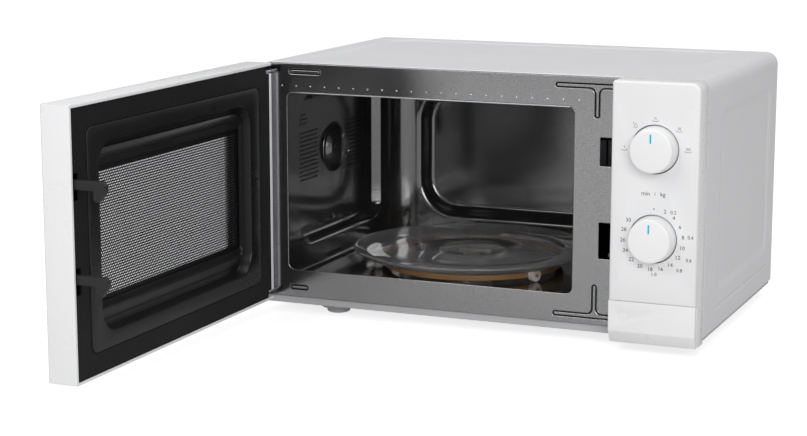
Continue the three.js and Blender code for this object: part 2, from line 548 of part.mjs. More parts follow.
const hookSlots = hookArms.map((z) =>
  box([hook.left - 0.8, hook.right + 0.8], [-6, 1],
    [z - hook.drop - 0.6, z + hook.armHeight + hook.travel + 0.6]));
function makeBezel() {
  const { left, bottom, top, right, wall } = door;
  const plate = box([8.3, right - wall - gap], [-3.4, -1.1], [bottom + wall + gap, top - wall - gap]);
  const around = grown(choke, 0.4);
  const opening = slab(roundedRect([around.left, around.right], [around.bottom, around.top], choke.corner),
    "y", [-5, 1]);
  return cut(plate, opening, ...hookSlots, ...pockets, box([left, 8.4], [-5, 1], [0, 240]));
}
piece("door_inner_bezel", makeBezel(), "blackPlastic", doorGroup);

function makeLatchBar() {
  const { tip, drop, armHeight, left, right } = hook;
  const hooks = hookArms.map((z) => slab(outline([
    [-10, z], [17, z], [17, z - drop + 2], [19, z - drop], [22, z - drop], [tip, z - 1],
    [tip, z + armHeight - 3], [tip - 3, z + armHeight], [-10, z + armHeight],
  ]), "x", [left, right]));
  return join(box(latchBar.x, latchBar.y, latchBar.z), ...hooks);
}
piece("latch_bar", makeLatchBar(), "blackPlastic", doorGroup);
const springAt = [(latchBar.x[0] + latchBar.x[1]) / 2, -14.5];
const springZ = [latchBar.z[1] + gap, rib.bottom - gap];
piece("latch_spring", rod("z", springZ, springAt, 3.2, 12), "zinc", doorGroup);

// ---- pose: the door swings about its pins, then the origin moves under the whole object ----
doorGroup.children.forEach((mesh) => mesh.geometry.translate(-pivot.x, -pivot.y, 0));
doorGroup.position.set(pivot.x, pivot.y, 0);
doorGroup.rotation.z = -THREE.MathUtils.degToRad(openAngle);
oven.updateMatrixWorld(true);
const bounds = new THREE.Box3().setFromObject(oven, true);
const centre = bounds.getCenter(new THREE.Vector3());
oven.position.set(-centre.x, -centre.y, -bounds.min.z);

export default oven;
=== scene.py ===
# A countertop microwave oven with its door standing open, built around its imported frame.
# Pieces are drawn in millimetres: x from the case's left side, y back from the front frame's face
# and z up from the lower edge of the case. Door pieces are drawn with the door shut, then swung.
import json
import math

import bmesh
import bpy
from mathutils import Matrix, Vector


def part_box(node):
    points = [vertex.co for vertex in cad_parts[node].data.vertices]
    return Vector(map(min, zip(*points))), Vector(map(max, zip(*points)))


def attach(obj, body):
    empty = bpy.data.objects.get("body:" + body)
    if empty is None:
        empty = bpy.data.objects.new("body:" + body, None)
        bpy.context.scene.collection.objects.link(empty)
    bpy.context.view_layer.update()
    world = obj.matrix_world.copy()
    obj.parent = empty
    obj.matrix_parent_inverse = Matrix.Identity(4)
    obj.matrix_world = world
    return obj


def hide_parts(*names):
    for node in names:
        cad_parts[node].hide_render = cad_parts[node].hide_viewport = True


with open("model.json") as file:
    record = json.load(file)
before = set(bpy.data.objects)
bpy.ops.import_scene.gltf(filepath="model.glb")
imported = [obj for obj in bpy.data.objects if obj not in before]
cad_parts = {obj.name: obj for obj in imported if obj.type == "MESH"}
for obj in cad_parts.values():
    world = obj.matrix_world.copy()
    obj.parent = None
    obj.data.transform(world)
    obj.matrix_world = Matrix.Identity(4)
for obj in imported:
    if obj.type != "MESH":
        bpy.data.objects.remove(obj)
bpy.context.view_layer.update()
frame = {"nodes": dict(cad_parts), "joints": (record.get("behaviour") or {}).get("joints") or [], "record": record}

# where drawn millimetres go
millimetre = 0.001
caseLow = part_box("outer_case")[0]
doorPivot = Vector(next(j for j in frame["joints"] if j["name"] == "door_swing")["pos_m"])
ovenPlace = Matrix.Translation(caseLow) @ Matrix.Scale(millimetre, 4)
doorSwing = Matrix.Rotation(math.radians(-90), 4, "Z")
doorPlace = Matrix.Translation(doorPivot) @ doorSwing @ Matrix.Translation(-doorPivot) @ ovenPlace
nodeBodies = {node: body for body, nodes in frame["record"]["behaviour"]["bodies"].items() for node in nodes}


def placeOf(body):
    return doorPlace if body in ("door", "latch") else ovenPlace


def span(node):
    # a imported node's box in drawn millimetres: (x, x), (y, y), (z, z)
    back = placeOf(nodeBodies[node]).inverted()
    corners = [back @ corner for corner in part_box(node)]
    return [tuple(sorted((corners[0][k], corners[1][k]))) for k in range(3)]


# view and light
viewLook = {
    "place": (0.6706, -1.6917, 0.4526), "azimuth": 22.99, "tilt": 10.44, "lens": 88.12, "sensor": 36.0,
}
lightLook = {
    "ambient": 0.44, "shown": 1.0,
    "lamps": [  # place, size, watts
        ((-1.5, -2.2, 2.3), 2.4, 30.0),
        ((0.2, 0.3, 2.6), 2.2, 20.0),
        ((1.4, -2.4, 1.2), 1.6, 33.0),
    ],
    "aim": (0.0, 0.1, 0.12),
    "floor": {"size": 40.0, "colour": (0.5, 0.5, 0.5, 1), "rough": 0.8, "glow": 0.75, "bounce": 0.12},
}


def makeView():
    camera = bpy.data.objects.new("camera", bpy.data.cameras.new("camera"))
    camera.data.sensor_width = viewLook["sensor"]
    camera.data.lens = viewLook["lens"]
    camera.location = viewLook["place"]
    camera.rotation_euler = (math.radians(90 - viewLook["tilt"]), 0, math.radians(viewLook["azimuth"]))
    bpy.context.scene.collection.objects.link(camera)
    bpy.context.scene.camera = camera
    bpy.context.scene.view_settings.view_transform = "Standard"


def seenDirectly(tree):
    # 1 for what the camera sees, also through glass, and 0 for reflected and diffused light
    paths = tree.nodes.new("ShaderNodeLightPath")
    either = tree.nodes.new("ShaderNodeMath")
    either.operation = "MAXIMUM"
    tree.links.new(paths.outputs["Is Camera Ray"], either.inputs[0])
    tree.links.new(paths.outputs["Is Transmission Ray"], either.inputs[1])
    return either.outputs[0]


def makeLight():
    world = bpy.data.worlds.new("studio")
    bpy.context.scene.world = world
    world.use_nodes = True
    tree = world.node_tree
    soft = tree.nodes["Background"]
    soft.inputs["Color"].default_value = (1, 1, 1, 1)
    soft.inputs["Strength"].default_value = lightLook["ambient"]
    shown = tree.nodes.new("ShaderNodeBackground")
    shown.inputs["Color"].default_value = (1, 1, 1, 1)
    shown.inputs["Strength"].default_value = lightLook["shown"]
    blend = tree.nodes.new("ShaderNodeMixShader")
    tree.links.new(seenDirectly(tree), blend.inputs[0])
    tree.links.new(soft.outputs[0], blend.inputs[1])
    tree.links.new(shown.outputs[0], blend.inputs[2])
    tree.links.new(blend.outputs[0], tree.nodes["World Output"].inputs["Surface"])
    for place, size, watts in lightLook["lamps"]:
        lamp = bpy.data.lights.new("softbox", "AREA")
        lamp.size = size
        lamp.energy = watts
        holder = bpy.data.objects.new("softbox", lamp)
        holder.location = place
        aim = Vector(lightLook["aim"]) - Vector(place)
        holder.rotation_euler = aim.to_track_quat("-Z", "Y").to_euler()
        bpy.context.scene.collection.objects.link(holder)


makeView()
makeLight()
print("view and light ready")


# shared shader groups
def groupTree(name, inputs, outputs):
    tree = bpy.data.node_groups.new(name, "ShaderNodeTree")
    for socketName, kind, value in inputs:
        socket = tree.interface.new_socket(name=socketName, in_out="INPUT", socket_type=kind)
        if value is not None:
            socket.default_value = value
    for socketName in outputs:
        tree.interface.new_socket(name=socketName, in_out="OUTPUT", socket_type="NodeSocketFloat")
    return tree, tree.nodes.new("NodeGroupInput"), tree.nodes.new("NodeGroupOutput")


def addNoise(tree, vector, scale, detail, roughness=0.5):
    noise = tree.nodes.new("ShaderNodeTexNoise")
    noise.inputs["Detail"].default_value = detail
    noise.inputs["Roughness"].default_value = roughness
    tree.links.new(vector, noise.inputs["Vector"])
    if isinstance(scale, (int, float)):
        noise.inputs["Scale"].default_value = scale
    else:
        tree.links.new(scale, noise.inputs["Scale"])
    return noise.outputs[0]


def addRange(tree, value, fromLow, fromHigh, toLow=0.0, toHigh=1.0):
    node = tree.nodes.new("ShaderNodeMapRange")
    tree.links.new(value, node.inputs["Value"])
    limits = {"From Min": fromLow, "From Max": fromHigh, "To Min": toLow, "To Max": toHigh}
    for name, number in limits.items():
        node.inputs[name].default_value = number
    return node.outputs["Result"]


def makeGrainGroup():
    # fine moulded or sprayed texture, with a slow drift of tone
    tree, start, end = groupTree(
        "fineGrain",
        [("Vector", "NodeSocketVector", None), ("Grains", "NodeSocketFloat", 900.0)],
        ["Height", "Tone"],
    )
    fine = addNoise(tree, start.outputs["Vector"], start.outputs["Grains"], 3.0, 0.6)
    tree.links.new(fine, end.inputs["Height"])
    slow = addNoise(tree, start.outputs["Vector"], 14.0, 2.0)
    tree.links.new(addRange(tree, slow, 0.35, 0.65), end.inputs["Tone"])
    return tree


def makeFleckGroup():
    # bright and dark metal flakes in a paint
    tree, start, end = groupTree(
        "metalFleck",
        [("Vector", "NodeSocketVector", None), ("Flecks", "NodeSocketFloat", 1500.0)],
        ["Fleck"],
    )
    coarse = addNoise(tree, start.outputs["Vector"], start.outputs["Flecks"], 2.0, 0.7)
    tree.links.new(addRange(tree, coarse, 0.38, 0.62), end.inputs["Fleck"])
    return tree


def makeHandlingGroup():
    # faint wiped patches that only change the gloss
    tree, start, end = groupTree(
        "handlingMarks",
        [("Vector", "NodeSocketVector", None), ("Marks", "NodeSocketFloat", 22.0)],
        ["Smudge"],
    )
    wiped = addNoise(tree, start.outputs["Vector"], start.outputs["Marks"], 6.0, 0.65)
    tree.links.new(addRange(tree, wiped, 0.3, 0.7), end.inputs["Smudge"])
    return tree


grainGroup = makeGrainGroup()
fleckGroup = makeFleckGroup()
handlingGroup = makeHandlingGroup()

# finishes: base and drifted colour, gloss, and what the surface carries
commonFinish = dict(metal=0.0, glass=0.0, shine=0.5, bend=1.5, spread=0.06, marks=22.0, stretch=(1, 1, 1))
finishLooks = {
    "whitePaint": dict(base=(0.75, 0.75, 0.765), drift=(0.735, 0.735, 0.75), rough=0.42,
                       grains=1100, depth=0.004),
    "whiteGloss": dict(base=(0.86, 0.86, 0.87), drift=(0.85, 0.85, 0.86), rough=0.30,
                       grains=1600, depth=0.002),
    "knobWhite": dict(base=(0.89, 0.89, 0.895), drift=(0.88, 0.88, 0.885), rough=0.34,
                      grains=2200, depth=0.002),
    "frameGrey": dict(base=(0.24, 0.24, 0.245), drift=(0.22, 0.22, 0.225), rough=0.17, spread=0.02, metal=1.0,
                      grains=1300, depth=0.006, fleck=(0.60, 0.60, 0.61), flecks=1500),
    "cavityGrey": dict(base=(0.15, 0.149, 0.15), drift=(0.13, 0.13, 0.131), rough=0.13, spread=0.02,
                       metal=0.92, grains=1400, depth=0.006, fleck=(0.24, 0.24, 0.24), flecks=1700),
    "blackGrain": dict(base=(0.006, 0.006, 0.0065), drift=(0.005, 0.005, 0.0055), rough=0.50, shine=0.12,
                       grains=1300, depth=0.015, fleck=(0.018, 0.018, 0.019), flecks=1500),
    "darkSmooth": dict(base=(0.011, 0.011, 0.012), drift=(0.009, 0.009, 0.010), rough=0.30, shine=0.35,
                       grains=1800, depth=0.01),
    "hookPlastic": dict(base=(0.022, 0.022, 0.023), drift=(0.019, 0.019, 0.020), rough=0.42, shine=0.3,
                        grains=1500, depth=0.01),
    "screenPaint": dict(base=(0.007, 0.007, 0.0075), drift=(0.006, 0.006, 0.0065), rough=0.45, shine=0.2,
                        grains=1600, depth=0.01),
    # near-black: painted shade for the inside of holes, vent openings and pressed grooves
    "paintedHoleShade": dict(base=(0.004, 0.004, 0.004), drift=(0.005, 0.005, 0.005), rough=0.8,
                     grains=900, depth=0.01),
    "tanPlastic": dict(base=(0.40, 0.215, 0.085), drift=(0.36, 0.19, 0.075), rough=0.42,
                       grains=1200, depth=0.02),
    "creamPlastic": dict(base=(0.66, 0.63, 0.56), drift=(0.62, 0.59, 0.52), rough=0.45,
                         grains=1200, depth=0.02),
    "zincSteel": dict(base=(0.50, 0.51, 0.52), drift=(0.42, 0.43, 0.44), rough=0.36, metal=0.95,
                      grains=500, depth=0.01, fleck=(0.62, 0.63, 0.64), flecks=260, stretch=(1, 1, 6)),
    "brightSteel": dict(base=(0.72, 0.72, 0.73), drift=(0.66, 0.66, 0.67), rough=0.22, metal=0.95,
                        grains=900, depth=0.006),
    "copperWire": dict(base=(0.48, 0.18, 0.065), drift=(0.38, 0.14, 0.05), rough=0.30, metal=0.9,
                       grains=700, depth=0.08, stretch=(1, 1, 9)),
    "rubberDark": dict(base=(0.035, 0.035, 0.038), drift=(0.028, 0.028, 0.030), rough=0.75,
                       grains=900, depth=0.05),
    "footGrey": dict(base=(0.50, 0.50, 0.51), drift=(0.47, 0.47, 0.48), rough=0.50,
                     grains=1200, depth=0.02),
    "micaSheet": dict(base=(0.36, 0.33, 0.27), drift=(0.29, 0.265, 0.215), rough=0.40,
                      grains=160, depth=0.04, fleck=(0.50, 0.46, 0.38), flecks=320),
    "boardGreen": dict(base=(0.03, 0.14, 0.05), drift=(0.025, 0.12, 0.04), rough=0.40,
                       grains=900, depth=0.02),
    "printInk": dict(base=(0.045, 0.045, 0.047), drift=(0.04, 0.04, 0.042), rough=0.55,
                     grains=2500, depth=0.004),
    "cyanInk": dict(base=(0.0, 0.42, 0.72), drift=(0.0, 0.40, 0.70), rough=0.40,
                    grains=2500, depth=0.004),
    "trayGlass": dict(base=(0.92, 0.92, 0.92), drift=(0.90, 0.90, 0.90), rough=0.04, spread=0.01,
                      grains=500, depth=0.002, glass=0.90, bend=1.42),
    "paneGlass": dict(base=(0.80, 0.80, 0.81), drift=(0.79, 0.79, 0.80), rough=0.0, spread=0.0,
                      grains=300, depth=0.0005, glass=1.0, bend=1.3),
    "bulbGlass": dict(base=(0.96, 0.94, 0.88), drift=(0.94, 0.92, 0.86), rough=0.05, spread=0.02,
                      grains=400, depth=0.01, glass=1.0),
}


def addGroup(tree, group, vector, amountName, amount):
    node = tree.nodes.new("ShaderNodeGroup")
    node.node_tree = group
    tree.links.new(vector, node.inputs["Vector"])
    node.inputs[amountName].default_value = amount
    return node


def addMix(tree, factor, first, second):
    node = tree.nodes.new("ShaderNodeMix")
    node.data_type = "RGBA"
    tree.links.new(factor, node.inputs[0])
    for socket, value in ((node.inputs[6], first), (node.inputs[7], second)):
        if isinstance(value, tuple):
            socket.default_value = (*value, 1)
        else:
            tree.links.new(value, socket)
    return node.outputs[2]


def makeFinish(name, look):
    material = bpy.data.materials.new(name)
    material.use_nodes = True
    tree = material.node_tree
    shader = tree.nodes["Principled BSDF"]
    place = tree.nodes.new("ShaderNodeTexCoord")
    mapping = tree.nodes.new("ShaderNodeMapping")
    mapping.inputs["Scale"].default_value = look["stretch"]
    tree.links.new(place.outputs["Object"], mapping.inputs["Vector"])
    vector = mapping.outputs["Vector"]
    grain = addGroup(tree, grainGroup, vector, "Grains", look["grains"])
    colour = addMix(tree, grain.outputs["Tone"], look["base"], look["drift"])
    if "fleck" in look:
        fleck = addGroup(tree, fleckGroup, vector, "Flecks", look["flecks"])
        colour = addMix(tree, fleck.outputs["Fleck"], colour, look["fleck"])
    tree.links.new(colour, shader.inputs["Base Color"])
    marks = addGroup(tree, handlingGroup, vector, "Marks", look["marks"])
    polished, wiped = max(look["rough"] - look["spread"], 0), look["rough"] + look["spread"]
    rough = addRange(tree, marks.outputs["Smudge"], 0, 1, polished, wiped)
    tree.links.new(rough, shader.inputs["Roughness"])
    bump = tree.nodes.new("ShaderNodeBump")
    bump.inputs["Strength"].default_value = 1.0
    bump.inputs["Distance"].default_value = look["depth"] * millimetre
    tree.links.new(grain.outputs["Height"], bump.inputs["Height"])
    tree.links.new(bump.outputs["Normal"], shader.inputs["Normal"])
    shader.inputs["Metallic"].default_value = look["metal"]
    shader.inputs["Transmission Weight"].default_value = look["glass"]
    shader.inputs["Specular IOR Level"].default_value = look["shine"]
    shader.inputs["IOR"].default_value = look["bend"]
    return material


finishes = {name: makeFinish(name, {**commonFinish, **look}) for name, look in finishLooks.items()}
print("finishes ready:", len(finishes))


# outlines: lists of (u, v), anticlockwise
def arcPoints(centre, radius, start, sweep, steps):
    angles = [math.radians(start + sweep * i / steps) for i in range(steps + 1)]
    return [(centre[0] + radius * math.cos(a), centre[1] + radius * math.sin(a)) for a in angles]


def roundedOutline(u, v, radii, steps=8):
    a, b, c, d = radii if isinstance(radii, tuple) else (radii,) * 4
    corners = [(u[0], v[0], a, 1, 1, 180), (u[1], v[0], b, -1, 1, 270),
               (u[1], v[1], c, -1, -1, 0), (u[0], v[1], d, 1, -1, 90)]
    points = []
    for cu, cv, radius, su, sv, start in corners:
        if radius > 0:
            points += arcPoints((cu + su * radius, cv + sv * radius), radius, start, 90, steps)
        else:
            points.append((cu, cv))
    return points


def circleOutline(centre, radius, steps=48):
    return arcPoints(centre, radius, 0, 360, steps)[:-1]


def filleted(points, radii, steps=5):
    # a closed outline with its corners rounded, by one radius or a list of them
    count = len(points)
    rounded = []
    for i, corner in enumerate(points):
        radius = radii[i] if isinstance(radii, (list, tuple)) else radii
        if radius <= 0:
            rounded.append(tuple(corner))
            continue
        here = Vector(corner)
        before = (Vector(points[i - 1]) - here).normalized()
        after = (Vector(points[(i + 1) % count]) - here).normalized()
        half = before.angle(after) / 2
        centre = here + (before + after).normalized() * (radius / math.sin(half))
        first = here + before * (radius / math.tan(half)) - centre
        last = here + after * (radius / math.tan(half)) - centre
        start = math.atan2(first.y, first.x)
        sweep = (math.atan2(last.y, last.x) - start + math.pi) % math.tau - math.pi
        rounded += arcPoints(centre, radius, math.degrees(start), math.degrees(sweep), steps)
    return rounded


def offsetLoop(points, distance):
    # moves a closed anticlockwise loop outwards by distance
    moved = []
    count = len(points)
    for i in range(count):
        before = Vector(points[i]) - Vector(points[i - 1])
        after = Vector(points[(i + 1) % count]) - Vector(points[i])
        n1 = Vector((before.y, -before.x)).normalized()
        n2 = Vector((after.y, -after.x)).normalized()
        shift = (n1 + n2) * (distance / max(1 + n1.dot(n2), 0.3))
        moved.append((points[i][0] + shift.x, points[i][1] + shift.y))
    return moved


# meshes in drawn millimetres
axisPoint = {
    "x": lambda u, v, w: (w, u, v),
    "y": lambda u, v, w: (u, w, v),
    "z": lambda u, v, w: (u, v, w),
}


def addLoop(bm, points, axis, level):
    return [bm.verts.new(axisPoint[axis](u, v, level)) for u, v in points]


def bridge(bm, first, second, closed=True):
    count = len(first)
    for i in range(count if closed else count - 1):
        j = (i + 1) % count
        bm.faces.new((first[i], first[j], second[j], second[i]))


def loopEdges(bm, loops):
    edges = []
    for loop in loops:
        for i, vert in enumerate(loop):
            edges.append(bm.edges.get((loop[i - 1], vert)) or bm.edges.new((loop[i - 1], vert)))
    return edges


def plate(outer, holes, axis, near, far, edge=0.3, rings=2):
    # a flat piece with holes right through it and rounded edges
    bm = bmesh.new()
    levels = [(near, 0), (far, 0)]
    if edge:
        turns = [math.pi / 2 * k / rings for k in range(rings + 1)]
        levels = [(near + edge * (1 - math.sin(t)), edge * (1 - math.cos(t))) for t in turns]
        levels += [(far - edge * (1 - math.sin(t)), edge * (1 - math.cos(t))) for t in reversed(turns)]
    firsts, lasts = [], []
    for loop, sign in [(outer, -1)] + [(hole, 1) for hole in holes]:
        rows = [addLoop(bm, offsetLoop(loop, sign * inset) if inset else loop, axis, level)
                for level, inset in levels]
        for one, two in zip(rows, rows[1:]):
            bridge(bm, one, two)
        firsts.append(rows[0])
        lasts.append(rows[-1])
    for loops in (firsts, lasts):
        bmesh.ops.triangle_fill(bm, edges=loopEdges(bm, loops), use_beauty=True)
    bmesh.ops.recalc_face_normals(bm, faces=bm.faces[:])
    if bm.calc_volume(signed=True) < 0:
        bmesh.ops.reverse_faces(bm, faces=bm.faces[:])
    return bm


def turned(profile, axis, centre, sides=64):
    # a lathe piece from (radius, level) pairs; a radius of nought closes it with a pole
    bm = bmesh.new()
    rows = []
    for radius, level in profile:
        if radius < 1e-6:
            rows.append([bm.verts.new(axisPoint[axis](*centre, level))])
        else:
            rows.append(addLoop(bm, circleOutline(centre, radius, sides), axis, level))
    for one, two in zip(rows, rows[1:]):
        if len(one) == 1 or len(two) == 1:
            tip, ring = (one[0], two) if len(one) == 1 else (two[0], one)
            for i in range(sides):
                bm.faces.new((tip, ring[i], ring[(i + 1) % sides]))
        else:
            bridge(bm, one, two)
    if len(rows[0]) > 1:
        bridge(bm, rows[-1], rows[0])
    bmesh.ops.recalc_face_normals(bm, faces=bm.faces[:])
    return bm


def prism(points, axis, near, far):
    # an outline pushed along an axis; along x its points are (y, z)
    return plate(points, [], axis, near, far, 0)


def block(x, y, z):
    return prism([(x[0], z[0]), (x[1], z[0]), (x[1], z[1]), (x[0], z[1])], "y", *y)


def joined(*parts):
    whole = bmesh.new()
    for part in parts:
        mesh = bpy.data.meshes.new("part")
        part.to_mesh(mesh)
        part.free()
        whole.from_mesh(mesh)
        bpy.data.meshes.remove(mesh)
    return whole


def newObject(name, bm):
    mesh = bpy.data.meshes.new(name)
    bm.to_mesh(mesh)
    bm.free()
    piece = bpy.data.objects.new(name, mesh)
    bpy.context.scene.collection.objects.link(piece)
    return piece


def settle(piece):
    # turns what the modifiers make into the piece's own plain mesh
    view = bpy.context.evaluated_depsgraph_get()
    mesh = bpy.data.meshes.new_from_object(piece.evaluated_get(view))
    piece.modifiers.clear()
    piece.data = mesh
    return piece


def removeObject(piece):
    bpy.data.objects.remove(piece)


def carved(piece, cutters, operation="DIFFERENCE"):
    for bm in cutters:
        cutter = newObject("cutter", bm)
        boolean = piece.modifiers.new("cut", "BOOLEAN")
        boolean.object = cutter
        boolean.operation = operation
        boolean.solver = "EXACT"
        settle(piece)
        removeObject(cutter)
    return piece


def softened(piece, width, segments, limit):
    bevel = piece.modifiers.new("edges", "BEVEL")
    bevel.width = width
    bevel.segments = segments
    bevel.limit_method = "ANGLE"
    bevel.angle_limit = math.radians(limit)
    return settle(piece)


def smoothed(piece, limit=38):
    piece.data.shade_smooth()
    piece.data.set_sharp_from_angle(angle=math.radians(limit))


def handOver(piece, finish, body, nodes=(), place=None, limit=38):
    # places a drawn piece, paints it and ties it to its body
    if place is not None:
        piece.data.transform(place)
    smoothed(piece, limit)
    piece.data.materials.clear()
    piece.data.materials.append(finishes[finish])
    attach(piece, body)
    if nodes:
        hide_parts(*nodes)
    return piece


def madePiece(name, bm, finish, body, nodes=(), limit=38):
    return handOver(newObject(name, bm), finish, body, nodes, placeOf(body), limit)


def refined(node, finish, width, segments):
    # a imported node's own shape with its edges rounded off
    bm = bmesh.new()
    bm.from_mesh(frame["nodes"][node].data)
    bmesh.ops.remove_doubles(bm, verts=bm.verts[:], dist=2e-6)
    bmesh.ops.dissolve_limit(bm, angle_limit=math.radians(0.5), verts=bm.verts[:], edges=bm.edges[:])
    piece = newObject(node + "_moulding", bm)
    softened(piece, width * millimetre, segments, 40)
    return handOver(piece, finish, nodeBodies[node], (node,))


# geometry nodes: what repeats
def geometryTree(name, inputs):
    tree = bpy.data.node_groups.new(name, "GeometryNodeTree")
    tree.interface.new_socket(name="Geometry", in_out="INPUT", socket_type="NodeSocketGeometry")
    for socketName, kind in inputs:
        tree.interface.new_socket(name=socketName, in_out="INPUT", socket_type=kind)
    tree.interface.new_socket(name="Geometry", in_out="OUTPUT", socket_type="NodeSocketGeometry")
    return tree, tree.nodes.new("NodeGroupInput"), tree.nodes.new("NodeGroupOutput")


def addMath(tree, operation, first, second=None):
    node = tree.nodes.new("ShaderNodeMath")
    node.operation = operation
    for socket, value in zip(node.inputs, (first, second)):
        if value is None:
            continue
        if isinstance(value, (int, float)):
            socket.default_value = value
        else:
            tree.links.new(value, socket)
    return node.outputs[0]


def finishTree(tree, geometry, material):
    realize = tree.nodes.new("GeometryNodeRealizeInstances")
    paint = tree.nodes.new("GeometryNodeSetMaterial")
    tree.links.new(geometry, realize.inputs[0])
    tree.links.new(realize.outputs[0], paint.inputs["Geometry"])
    tree.links.new(material, paint.inputs["Material"])
    return paint.outputs[0]


def makePatternTree():
    # a template repeated over a grid in the piece's own x and y, each odd row shifted sideways
    tree, start, end = geometryTree("repeatOverGrid", [
        ("Template", "NodeSocketObject"), ("Columns", "NodeSocketInt"), ("Rows", "NodeSocketInt"),
        ("Pitch Across", "NodeSocketFloat"), ("Pitch Up", "NodeSocketFloat"), ("Shift", "NodeSocketFloat"),
        ("Weld", "NodeSocketFloat"), ("Material", "NodeSocketMaterial"),
    ])
    give = start.outputs
    total = addMath(tree, "MULTIPLY", give["Columns"], give["Rows"])
    line = tree.nodes.new("GeometryNodeMeshLine")
    tree.links.new(total, line.inputs["Count"])
    line.inputs["Offset"].default_value = (0, 0, 0)
    index = tree.nodes.new("GeometryNodeInputIndex").outputs[0]
    row = addMath(tree, "FLOOR", addMath(tree, "DIVIDE", index, give["Columns"]))
    column = addMath(tree, "MODULO", index, give["Columns"])
    odd = addMath(tree, "MODULO", row, 2.0)
    across = addMath(tree, "ADD", addMath(tree, "MULTIPLY", column, give["Pitch Across"]),
                     addMath(tree, "MULTIPLY", odd, give["Shift"]))
    up = addMath(tree, "MULTIPLY", row, give["Pitch Up"])
    spot = tree.nodes.new("ShaderNodeCombineXYZ")
    tree.links.new(across, spot.inputs["X"])
    tree.links.new(up, spot.inputs["Y"])
    move = tree.nodes.new("GeometryNodeSetPosition")
    tree.links.new(line.outputs[0], move.inputs["Geometry"])
    tree.links.new(spot.outputs[0], move.inputs["Position"])
    info = tree.nodes.new("GeometryNodeObjectInfo")
    tree.links.new(give["Template"], info.inputs["Object"])
    copies = tree.nodes.new("GeometryNodeInstanceOnPoints")
    tree.links.new(move.outputs[0], copies.inputs["Points"])
    tree.links.new(info.outputs["Geometry"], copies.inputs["Instance"])
    painted = finishTree(tree, copies.outputs[0], give["Material"])
    weld = tree.nodes.new("GeometryNodeMergeByDistance")
    tree.links.new(painted, weld.inputs["Geometry"])
    tree.links.new(give["Weld"], weld.inputs["Distance"])
    tree.links.new(weld.outputs[0], end.inputs[0])
    return tree


def makeSpotsTree():
    # a template on each point of the piece, turned by one rotation
    tree, start, end = geometryTree("repeatOnPoints", [
        ("Template", "NodeSocketObject"), ("Turn", "NodeSocketVector"), ("Material", "NodeSocketMaterial"),
    ])
    give = start.outputs
    info = tree.nodes.new("GeometryNodeObjectInfo")
    tree.links.new(give["Template"], info.inputs["Object"])
    copies = tree.nodes.new("GeometryNodeInstanceOnPoints")
    tree.links.new(give["Geometry"], copies.inputs["Points"])
    tree.links.new(info.outputs["Geometry"], copies.inputs["Instance"])
    tree.links.new(give["Turn"], copies.inputs["Rotation"])
    tree.links.new(finishTree(tree, copies.outputs[0], give["Material"]), end.inputs[0])
    return tree


def makeCoilTree():
    # a round wire wound into a coil up the z axis
    tree, start, end = geometryTree("coilSpring", [
        ("Turns", "NodeSocketFloat"), ("Radius", "NodeSocketFloat"), ("Height", "NodeSocketFloat"),
        ("Wire", "NodeSocketFloat"), ("Material", "NodeSocketMaterial"),
    ])
    give = start.outputs
    spiral = tree.nodes.new("GeometryNodeCurveSpiral")
    spiral.inputs["Resolution"].default_value = 18
    tree.links.new(give["Turns"], spiral.inputs["Rotations"])
    tree.links.new(give["Radius"], spiral.inputs["Start Radius"])
    tree.links.new(give["Radius"], spiral.inputs["End Radius"])
    tree.links.new(give["Height"], spiral.inputs["Height"])
    section = tree.nodes.new("GeometryNodeCurvePrimitiveCircle")
    section.inputs["Resolution"].default_value = 8
    tree.links.new(give["Wire"], section.inputs["Radius"])
    sweep = tree.nodes.new("GeometryNodeCurveToMesh")
    sweep.inputs["Fill Caps"].default_value = True
    tree.links.new(spiral.outputs[0], sweep.inputs["Curve"])
    tree.links.new(section.outputs[0], sweep.inputs["Profile Curve"])
    tree.links.new(finishTree(tree, sweep.outputs[0], give["Material"]), end.inputs[0])
    return tree


patternTree = makePatternTree()
spotsTree = makeSpotsTree()
coilTree = makeCoilTree()


def runTree(name, tree, values, points=()):
    base = bpy.data.meshes.new(name)
    base.from_pydata(list(points) or [(0, 0, 0)], [], [])
    piece = bpy.data.objects.new(name, base)
    bpy.context.scene.collection.objects.link(piece)
    modifier = piece.modifiers.new("nodes", "NODES")
    modifier.node_group = tree
    for item in tree.interface.items_tree:
        if item.item_type == "SOCKET" and item.in_out == "INPUT" and item.name in values:
            modifier[item.identifier] = values[item.name]
    return settle(piece)


def repeated(name, template, look, finish, turn, weld=0.0):
    # look holds columns, rows, across, up and shift; turn puts the flat pattern in drawn millimetres
    stamp = newObject("template", template)
    piece = runTree(name, patternTree, {
        "Template": stamp, "Columns": look["columns"], "Rows": look["rows"], "Pitch Across": look["across"],
        "Pitch Up": look["up"], "Shift": look.get("shift", 0.0), "Weld": weld, "Material": finishes[finish],
    })
    removeObject(stamp)
    piece.data.transform(turn)
    return piece


def spotted(name, template, points, turn, finish):
    stamp = newObject("template", template)
    piece = runTree(name, spotsTree, {"Template": stamp, "Turn": turn, "Material": finishes[finish]}, points)
    removeObject(stamp)
    return piece


def facing(axis, place):
    # a frame whose x and y lie in a wall and whose z points out of it
    turns = {
        "front": ((1, 0, 0), (0, 0, -1), (0, 1, 0)),
        "back": ((-1, 0, 0), (0, 0, 1), (0, 1, 0)),
        "right": ((0, 0, 1), (1, 0, 0), (0, 1, 0)),
    }
    return Matrix.Translation(Vector(place)) @ Matrix(turns[axis]).to_4x4()


turnTo = {axis: tuple(facing(axis, (0, 0, 0)).to_euler()) for axis in ("back", "right")}
print("tools ready")


# pressed sheet shapes
def easeIn(t):
    t = min(max(t, 0.0), 1.0)
    return t * t * (3 - 2 * t)


